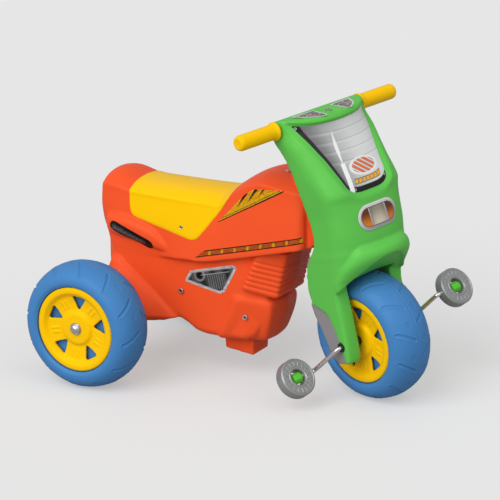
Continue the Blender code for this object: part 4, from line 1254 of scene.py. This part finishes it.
points, across = screen_grid()
film("screen", points, screen_print(points, across), FORK, "fork", "windscreen",
     slot_name="screen_sticker")

# %% [markdown]
# ## The lamp
#
# The lamp is a stadium on the fairing's front: a bright bevel round two dark amber ends, with a
# ribbed pale lens framed between them.

# %% Lamp
LAMP_HALF, LAMP_HIGH = 42.5, 21.6
LAMP_Z = 206.5
LAMP_PROUD = 0.9


def stadium_grid(half_width, half_height, columns, rows):
    """Grid over a stadium: columns across, each as high as the outline is there."""
    a = np.linspace(-1, 1, columns)[None, :]
    a = np.sin(a * math.pi / 2)
    b = np.linspace(-1, 1, rows)[:, None]
    across = a * half_width
    over = np.clip(np.abs(across) - (half_width - half_height), 0, half_height)
    height = np.sqrt(np.maximum(half_height ** 2 - over ** 2, 0))
    return across + 0 * b, b * height


def lamp_print(a, b):
    edge = LAMP_HIGH - np.hypot(np.clip(np.abs(a) - (LAMP_HALF - LAMP_HIGH), 0, None), b)
    light = 0.34 + 0.40 * eased(b - a * 0.25, -20, 20)
    base = np.stack([light, light, light * 1.02], axis=-1)
    base = ink(base, band(edge, 2.6, 3.6, 0.5) * 0.5, (0.16, 0.16, 0.17))
    base = ink(base, band(edge, 5.2, 6.6, 0.3), (0.07, 0.06, 0.06))

    inside = eased(edge, 6.2, 6.8)
    amber = ink(sheet(a, (0.16, 0.035, 0.012)), eased(b, 9, -13), (0.80, 0.25, 0.02))
    base = ink(base, inside, amber * (0.84 + 0.16 * np.sin(a * 2.2))[..., None])

    across = a + b * 0.10
    rings = (0.5 + 0.5 * np.sin(np.hypot(a * 0.8, b + 30) * 2.2))[..., None]
    bright = (0.55 + 0.65 * eased(b, 14, -14)) * (0.72 + 0.28 * eased(np.abs(a), 16, 4))
    glass = (0.46, 0.40, 0.30) + rings * (0.20, 0.18, 0.15)
    base = ink(base, inside * band(across, -15.5, 16.5, 0.3), glass * bright[..., None])
    for middle in (-17.0, 18.0):
        base = ink(base, inside * band(across, middle - 1.5, middle + 1.5, 0.3), (0.42, 0.42, 0.43))
        base = ink(base, inside * band(across, middle + 1.2, middle + 1.9, 0.2), (0.10, 0.08, 0.08))
    return base


a, b = stadium_grid(LAMP_HALF, LAMP_HIGH, 150, 76)
z = LAMP_Z + b
half, power = fairing_row(z)[3:]
s = np.clip(np.abs(a) / (half + LAMP_PROUD), 0, 1) ** (power / 2)
t = 0.5 + np.sign(a) * np.arcsin(s) / math.pi
film("lamp", fairing_point(z, t, -LAMP_PROUD), lamp_print(a, b), FORK, "fork", "headlight",
     slot_name="lamp_sticker")

# %% [markdown]
# ## Decals on the body
#
# The decals start as flat films beside the body and are pressed onto it along y with a Shrinkwrap
# modifier, so they follow its curves. Each is drawn as a grid between its outline and its middle, so
# that its edge is exact.

# %% Films pressed onto the body


FILM_DENSITY = 1.3              # outline points per mm of a decal


def polar_film(corners, radius, rings=41):
    """Grid of (x, z) points that shrinks from a rounded closed outline to its middle."""
    corners = np.array(corners, float)
    closed = np.vstack([corners, corners[:1]])
    reach = reach_along(closed)
    count = int(reach[-1] * FILM_DENSITY)
    path = resampled(closed, reach, np.arange(count) / count * reach[-1])
    sigma = radius * FILM_DENSITY
    path = blurred(path, sigma, max(int(3 * sigma), 1), closed=True)
    shares = np.linspace(1, 0.001, rings)[:, None, None]
    grid = path.mean(axis=0) + shares * (path - path.mean(axis=0))
    return np.concatenate([grid, grid[:, :1]], axis=1)


def strip_film(corners, along, across):
    """Grid between four corners: lower left, upper left, upper right, lower right."""
    a, b, c, d = np.array(corners, float)
    u = np.linspace(0, 1, along)[None, :, None]
    v = np.linspace(0, 1, across)[:, None, None]
    return (1 - v) * ((1 - u) * a + u * d) + v * ((1 - u) * b + u * c)


def inside_distance(x, z, corners):
    """Distance of points from a convex outline's nearest edge, positive inside."""
    corners = np.array(corners, float)
    ahead = np.roll(corners, -1, axis=0)
    area = np.sum(corners[:, 0] * ahead[:, 1] - ahead[:, 0] * corners[:, 1])
    least = np.full(x.shape, 1e9)
    for (x0, z0), (x1, z1) in zip(corners, ahead):
        length = math.hypot(x1 - x0, z1 - z0)
        signed = ((x1 - x0) * (z - z0) - (z1 - z0) * (x - x0)) / length * (1 if area > 0 else -1)
        least = np.minimum(least, signed)
    return least


def decal(name, grid, paint, side):
    """Film on the body's right or left flank."""
    x, z = grid[..., 0], grid[..., 1]
    points = np.stack([x, np.full(x.shape, side * 95.0), z], axis=-1)
    obj = film(name, points, paint(x, z), BODY, "body")
    wrap = obj.modifiers.new("drape", "SHRINKWRAP")
    wrap.target = body
    wrap.wrap_method = "PROJECT"
    wrap.use_project_y = True
    wrap.use_project_x = wrap.use_project_z = False
    wrap.use_positive_direction = wrap.use_negative_direction = True
    wrap.offset = 0.3 * MM
    return apply_modifiers(obj)


# %% [markdown]
# The four prints are a bright framed panel with a port and cylinders on the engine, a yellow wedge
# with black darts on the tank, a grille beside the tail and a hatched stripe along the ledge.

# %% Decals
PLATE = [(117, 168), (129, 189), (214, 212), (221, 207), (197, 161), (188, 156)]
FLASH = [(186, 284), (240, 341), (258, 353), (316, 358), (310, 353)]
VENT = [(-20, 241.5), (-27, 246), (-28, 253), (-22, 259), (-14, 258.5), (54, 234), (60, 228.5),
        (59.5, 221.5), (53, 216.5), (45, 217)]
STRIPE = [(146, 217.7), (164, 233), (350, 283.5), (351, 273)]


PORT = (147, 183)


def plate_print(x, z):
    edge = inside_distance(x, z, PLATE)
    base = ink(sheet(x, (0.84, 0.85, 0.86)), eased(edge, 2.6, 5.0) * 0.55, (0.42, 0.43, 0.44))
    inner = eased(edge, 4.8, 5.3)
    shade = 0.10 + 0.34 * eased(z - 0.27 * x, 146, 158) + 0.06 * np.sin(x * 0.21 + z * 0.13)
    base = ink(base, inner, np.stack([shade] * 3, axis=-1))
    ring = np.hypot(x - PORT[0], z - PORT[1])
    base = ink(base, inner * band(ring, 7.5, 11, 0.5), (0.42, 0.42, 0.43))
    base = ink(base, inner * (1 - eased(ring, 5.8, 6.6)), (0.015, 0.013, 0.013))
    slanted = x + (z - 185) * 0.25
    cylinders = inner * band(slanted, 160, 200, 0.5) * band(z - 0.18 * x, 130, 158, 0.6)
    base = ink(base, cylinders * 0.8, (0.11, 0.11, 0.115))
    base = ink(base, cylinders * (1 - eased(zigzag(slanted, 4.6), 0.18, 0.34)), (0.40, 0.40, 0.41))
    for low, high, soft, first, last, bright in ((142.5, 143.7, 0.35, 150, 206, 0.72),
                                                 (150.5, 151.3, 0.3, 158, 210, 0.55)):
        line = inner * band(z - 0.27 * x, low, high, soft) * band(x, first, last, 1)
        base = ink(base, line, (bright, bright, bright))
    return base


def flash_print(x, z):
    """Yellow wedge over two black lines, crossed by black darts that taper to the rear."""
    base = sheet(x, (0.97, 0.60, 0.01))
    lower = to_segment(x, z, FLASH[0], (316, 358))
    from_x, from_z = x - FLASH[0][0], z - FLASH[0][1]
    along = from_x * 0.869 + from_z * 0.495
    above = -from_x * 0.495 + from_z * 0.869
    for start in (26, 50, 74, 98):
        reach = (along - start) / 30
        over = above - 9 - (along - start) * 0.52
        thick = 3.2 * np.clip(reach, 0, 1) * (1 - eased(reach, 1.0, 1.35)) - 0.3
        base = ink(base, (1 - eased(np.abs(over), thick, thick + 0.7)) * (reach > 0), BLACK_INK)
        rim = band(over, -thick - 2.0, -thick - 0.7, 0.3) * band(reach, 0.2, 1.1, 0.1)
        base = ink(base, 0.8 * rim, (0.85, 0.20, 0.02))
    base = ink(base, 1 - eased(lower, 0.9, 1.4), BLACK_INK)
    return ink(base, band(lower, 3.2, 4.0, 0.25), BLACK_INK)


def stripe_print(x, z):
    """Two black lines, and between them an orange band with fine hatching and yellow blocks."""
    (x0, z0), (x1, z1), (x2, z2), (x3, z3) = STRIPE
    up = z - z0 - (x - x0) * (z3 - z0) / (x3 - x0)
    down = z1 + (x - x1) * (z2 - z1) / (x2 - x1) - z
    hatch = zigzag(up / np.maximum(up + down, 1), 0.25)
    base = ink(sheet(x, (0.82, 0.17, 0.02)), 0.6 * (1 - eased(hatch, 0.25, 0.6)), (0.30, 0.06, 0.015))
    base = ink(base, 1 - eased(zigzag(x - 162, 25.0) * 12.5, 1.9, 2.6), (0.95, 0.55, 0.01))
    return ink(base, 1 - eased(np.minimum(up, down), 1.5, 2.0), BLACK_INK)


def vent_print(x, z):
    along = (x + 27) * 0.94 - (z - 250) * 0.34
    over = (x + 27) * 0.34 + (z - 250) * 0.94
    cells = np.maximum(zigzag(along, 2.6), zigzag(over, 3.2))
    area = band(over, -2.5, 6.0, 0.8) * band(along, 6, 74, 3)
    return ink(sheet(x, (0.02, 0.016, 0.018)), area * eased(cells, 0.72, 0.86) * 0.75, (0.60, 0.52, 0.52))


for label, side in (("right", -1), ("left", 1)):
    decal(f"engine_plate_{label}", polar_film(PLATE, 2.2), plate_print, side)
    decal(f"tank_flash_{label}", polar_film(FLASH, 0.8), flash_print, side)
    decal(f"vent_panel_{label}", polar_film(VENT, 2.5, 30), vent_print, side)
    decal(f"side_stripe_{label}", strip_film(STRIPE, 360, 24), stripe_print, side)

# %% [markdown]
# ## Gauges on the dash
#
# Two printed gauge panels lie on the dash, mirror images of each other.

# %% Gauges
GAUGE = [(8, 19), (5, 66), (16, 61), (29, 54), (38, 45), (49, 28), (45, 22), (34, 21)]


def gauge_print(x, y):
    inner = eased(inside_distance(x, y, GAUGE), 2.2, 2.7)
    shade = 0.10 + 0.16 * eased(y, 20, 60)
    base = ink(sheet(x, (0.66, 0.67, 0.67)), inner,
               np.stack([shade, shade * 0.97, shade * 0.94], axis=-1))
    for middle_x, middle_y, radius in ((26, 32, 8.0), (17, 50, 7.0)):
        ring = np.hypot(x - middle_x, y - middle_y)
        base = ink(base, inner * (1 - eased(ring, radius - 0.4, radius + 0.3)), (0.10, 0.09, 0.09))
        base = ink(base, inner * band(ring, radius - 0.4, radius + 0.5, 0.25), (0.70, 0.70, 0.70))
        needle = to_segment(x, y, (middle_x, middle_y), (middle_x + 4, middle_y + 4))
        base = ink(base, inner * (1 - eased(needle, 0.6, 1.1)), (0.80, 0.25, 0.02))
    return base


for label, side in (("left", 1), ("right", -1)):
    grid = polar_film(GAUGE, 1.6, 32)
    x, y = grid[..., 0], grid[..., 1]
    points = np.stack([x, side * y, DASH_Z - dash_fall(x) + 0.45], axis=-1)
    film(f"gauge_{label}", points, gauge_print(x, y), FORK, "fork")

# %% [markdown]
# ## Small metal and black pieces
#
# The axle, washers, caps, screws, column and bushes keep their CAD shapes, because these are right,
# and get their metal or black plastic here.

# %% Finishes of the pieces that keep their CAD shape
for name, obj in nodes.items():
    if obj.hide_render:
        continue
    if name.startswith(("axle_bush", "crank_bush", "head_bush")):
        chosen = BLACK_AND_SOCKET_SHADE
    elif name == "bar_clamp":
        chosen = GREY
    else:
        chosen = ZINC
    obj.data.materials.clear()
    obj.data.materials.append(chosen)
    obj.data.shade_smooth()
    obj.data.set_sharp_from_angle(angle=math.radians(35))

# %% [markdown]
# The shade in the recess of each screw head is painted: a thin black disc, the same on both sides of the
# body.

# %% Painted shade in the screw heads' sockets
# Where each disc of painted shade is on the left side, the way it faces and its radius
SOCKET_SHADE_DISCS = [((111, 63.9, 150), (0, 1, 0), 2.9), ((237, 61.9, 122), (0, 1, 0), 2.9),
           ((115, 67.6, 266), (0, 1, 0), 1.9), ((297, 20.0, 379.1), (0, 0.08, 1), 2.9)]


def socket_shade_discs():
    """One flat round black disc in each of the body's screw heads, as painted shade in its socket."""
    discs = bmesh.new()
    for (x, y, z), (a, b, c), radius in SOCKET_SHADE_DISCS:
        for side in (-1, 1):
            facing = Vector((a, side * b, c)).to_track_quat("Z", "Y").to_matrix().to_4x4()
            where = Matrix.Scale(MM, 4) @ Matrix(BODY @ move(x, side * y, z)) @ facing
            bmesh.ops.create_cone(discs, cap_ends=True, segments=32, radius1=radius, radius2=radius,
                                  depth=0.4, matrix=where)
    mesh = bpy.data.meshes.new("screw_socket_shade")
    discs.to_mesh(mesh)
    discs.free()
    return mesh


piece("screw_socket_shade", socket_shade_discs(), 40, BLACK_AND_SOCKET_SHADE, "body")

# %% [markdown]
# ## Floor, light and camera
#
# The toy stands on a pale floor in soft light from two sides, as in a product photograph. The floor
# glows a little for the camera alone, so that it goes over into the background and still keeps the
# shadow. The camera's place, lens and shift were worked out from the wheels' outlines.

# %% Floor and background
PAPER = (0.79, 0.79, 0.79, 1.0)
AMBIENT = (0.43, 0.43, 0.43, 1.0)
FLOOR = (0.42, 0.42, 0.42, 1.0)
FLOOR_GLOW = (0.395, 0.395, 0.395, 1.0)


def lay_floor():
    mesh = bpy.data.meshes.new("floor")
    mesh.from_pydata([(-9, -9, 0), (9, -9, 0), (9, 9, 0), (-9, 9, 0)], [], [(0, 1, 2, 3)])
    made, tree, shader = new_material("pale_floor", {"Base Color": FLOOR, "Roughness": 1.0,
                                                     "Specular IOR Level": 0.0})
    glow = node(tree, "ShaderNodeEmission", {"Color": FLOOR_GLOW})
    dark = node(tree, "ShaderNodeEmission", {"Strength": 0.0})
    seen = node(tree, "ShaderNodeLightPath")
    which, both = node(tree, "ShaderNodeMixShader"), node(tree, "ShaderNodeAddShader")
    wire(tree, (seen, "Is Camera Ray", which, "Fac"), (dark, "Emission", which, 1),
         (glow, "Emission", which, 2), (shader, "BSDF", both, 0), (which, "Shader", both, 1),
         (both, "Shader", tree.nodes["Material Output"], "Surface"))
    mesh.materials.append(made)
    floor = as_object("floor", mesh)


def background():
    world = bpy.data.worlds.new("studio")
    bpy.context.scene.world = world
    world.use_nodes = True
    tree = world.node_tree
    seen = node(tree, "ShaderNodeLightPath")
    mix = node(tree, "ShaderNodeMix", {"A": AMBIENT, "B": PAPER}, data_type="RGBA")
    wire(tree, (seen, "Is Camera Ray", mix, "Factor"), (mix, "Result", tree.nodes["Background"], "Color"))


lay_floor()
background()

# %% Light and camera
CAMERA_TURN, CAMERA_HEIGHT, CAMERA_ROLL = 29.913, 17.755, -0.125    # degrees
CAMERA_REACH = 3.913397         # metres from the point that it looks at
CAMERA_AIM = (200, 0, 200)
FOCAL_PIXELS = 2274.114
MIDDLE_PIXEL = (244.033, 260.917)
PICTURE = 500


def soft_sun(name, azimuth, elevation, spread, strength):
    """Even light over the whole floor from one side, as soft as a lamp that fills the spread."""
    data = bpy.data.lights.new(name, "SUN")
    data.energy = strength
    data.angle = math.radians(spread)
    obj = bpy.data.objects.new(name, data)
    bpy.context.scene.collection.objects.link(obj)
    a, e = math.radians(azimuth), math.radians(elevation)
    towards = Vector((math.sin(a) * math.cos(e), -math.cos(a) * math.cos(e), math.sin(e)))
    obj.rotation_mode = "QUATERNION"
    obj.rotation_quaternion = towards.to_track_quat("Z", "Y")


def camera():
    azimuth, elevation, roll = map(math.radians, (CAMERA_TURN, CAMERA_HEIGHT, CAMERA_ROLL))
    back = np.array([math.sin(azimuth) * math.cos(elevation), -math.cos(azimuth) * math.cos(elevation),
                     math.sin(elevation)])
    right = np.array([math.cos(azimuth), math.sin(azimuth), 0.0])
    up = np.cross(back, right)
    data = bpy.data.cameras.new("camera")
    data.sensor_width = 36.0
    data.lens = FOCAL_PIXELS / PICTURE * data.sensor_width
    data.shift_x = 0.5 - MIDDLE_PIXEL[0] / PICTURE
    data.shift_y = MIDDLE_PIXEL[1] / PICTURE - 0.5
    data.clip_start, data.clip_end = 0.1, 60
    obj = bpy.data.objects.new("camera", data)
    bpy.context.scene.collection.objects.link(obj)
    matrix = np.eye(4)
    matrix[:3, 0] = right * math.cos(roll) + up * math.sin(roll)
    matrix[:3, 1] = up * math.cos(roll) - right * math.sin(roll)
    matrix[:3, 2] = back
    matrix[:3, 3] = placed(CAMERA_AIM, BODY) + back * CAMERA_REACH
    obj.matrix_world = Matrix(matrix)
    bpy.context.scene.camera = obj


soft_sun("key", -8, 37, 50, 2.12)
soft_sun("fill", 72, 42, 60, 0.55)
camera()
bpy.context.scene.view_settings.view_transform = "Standard"
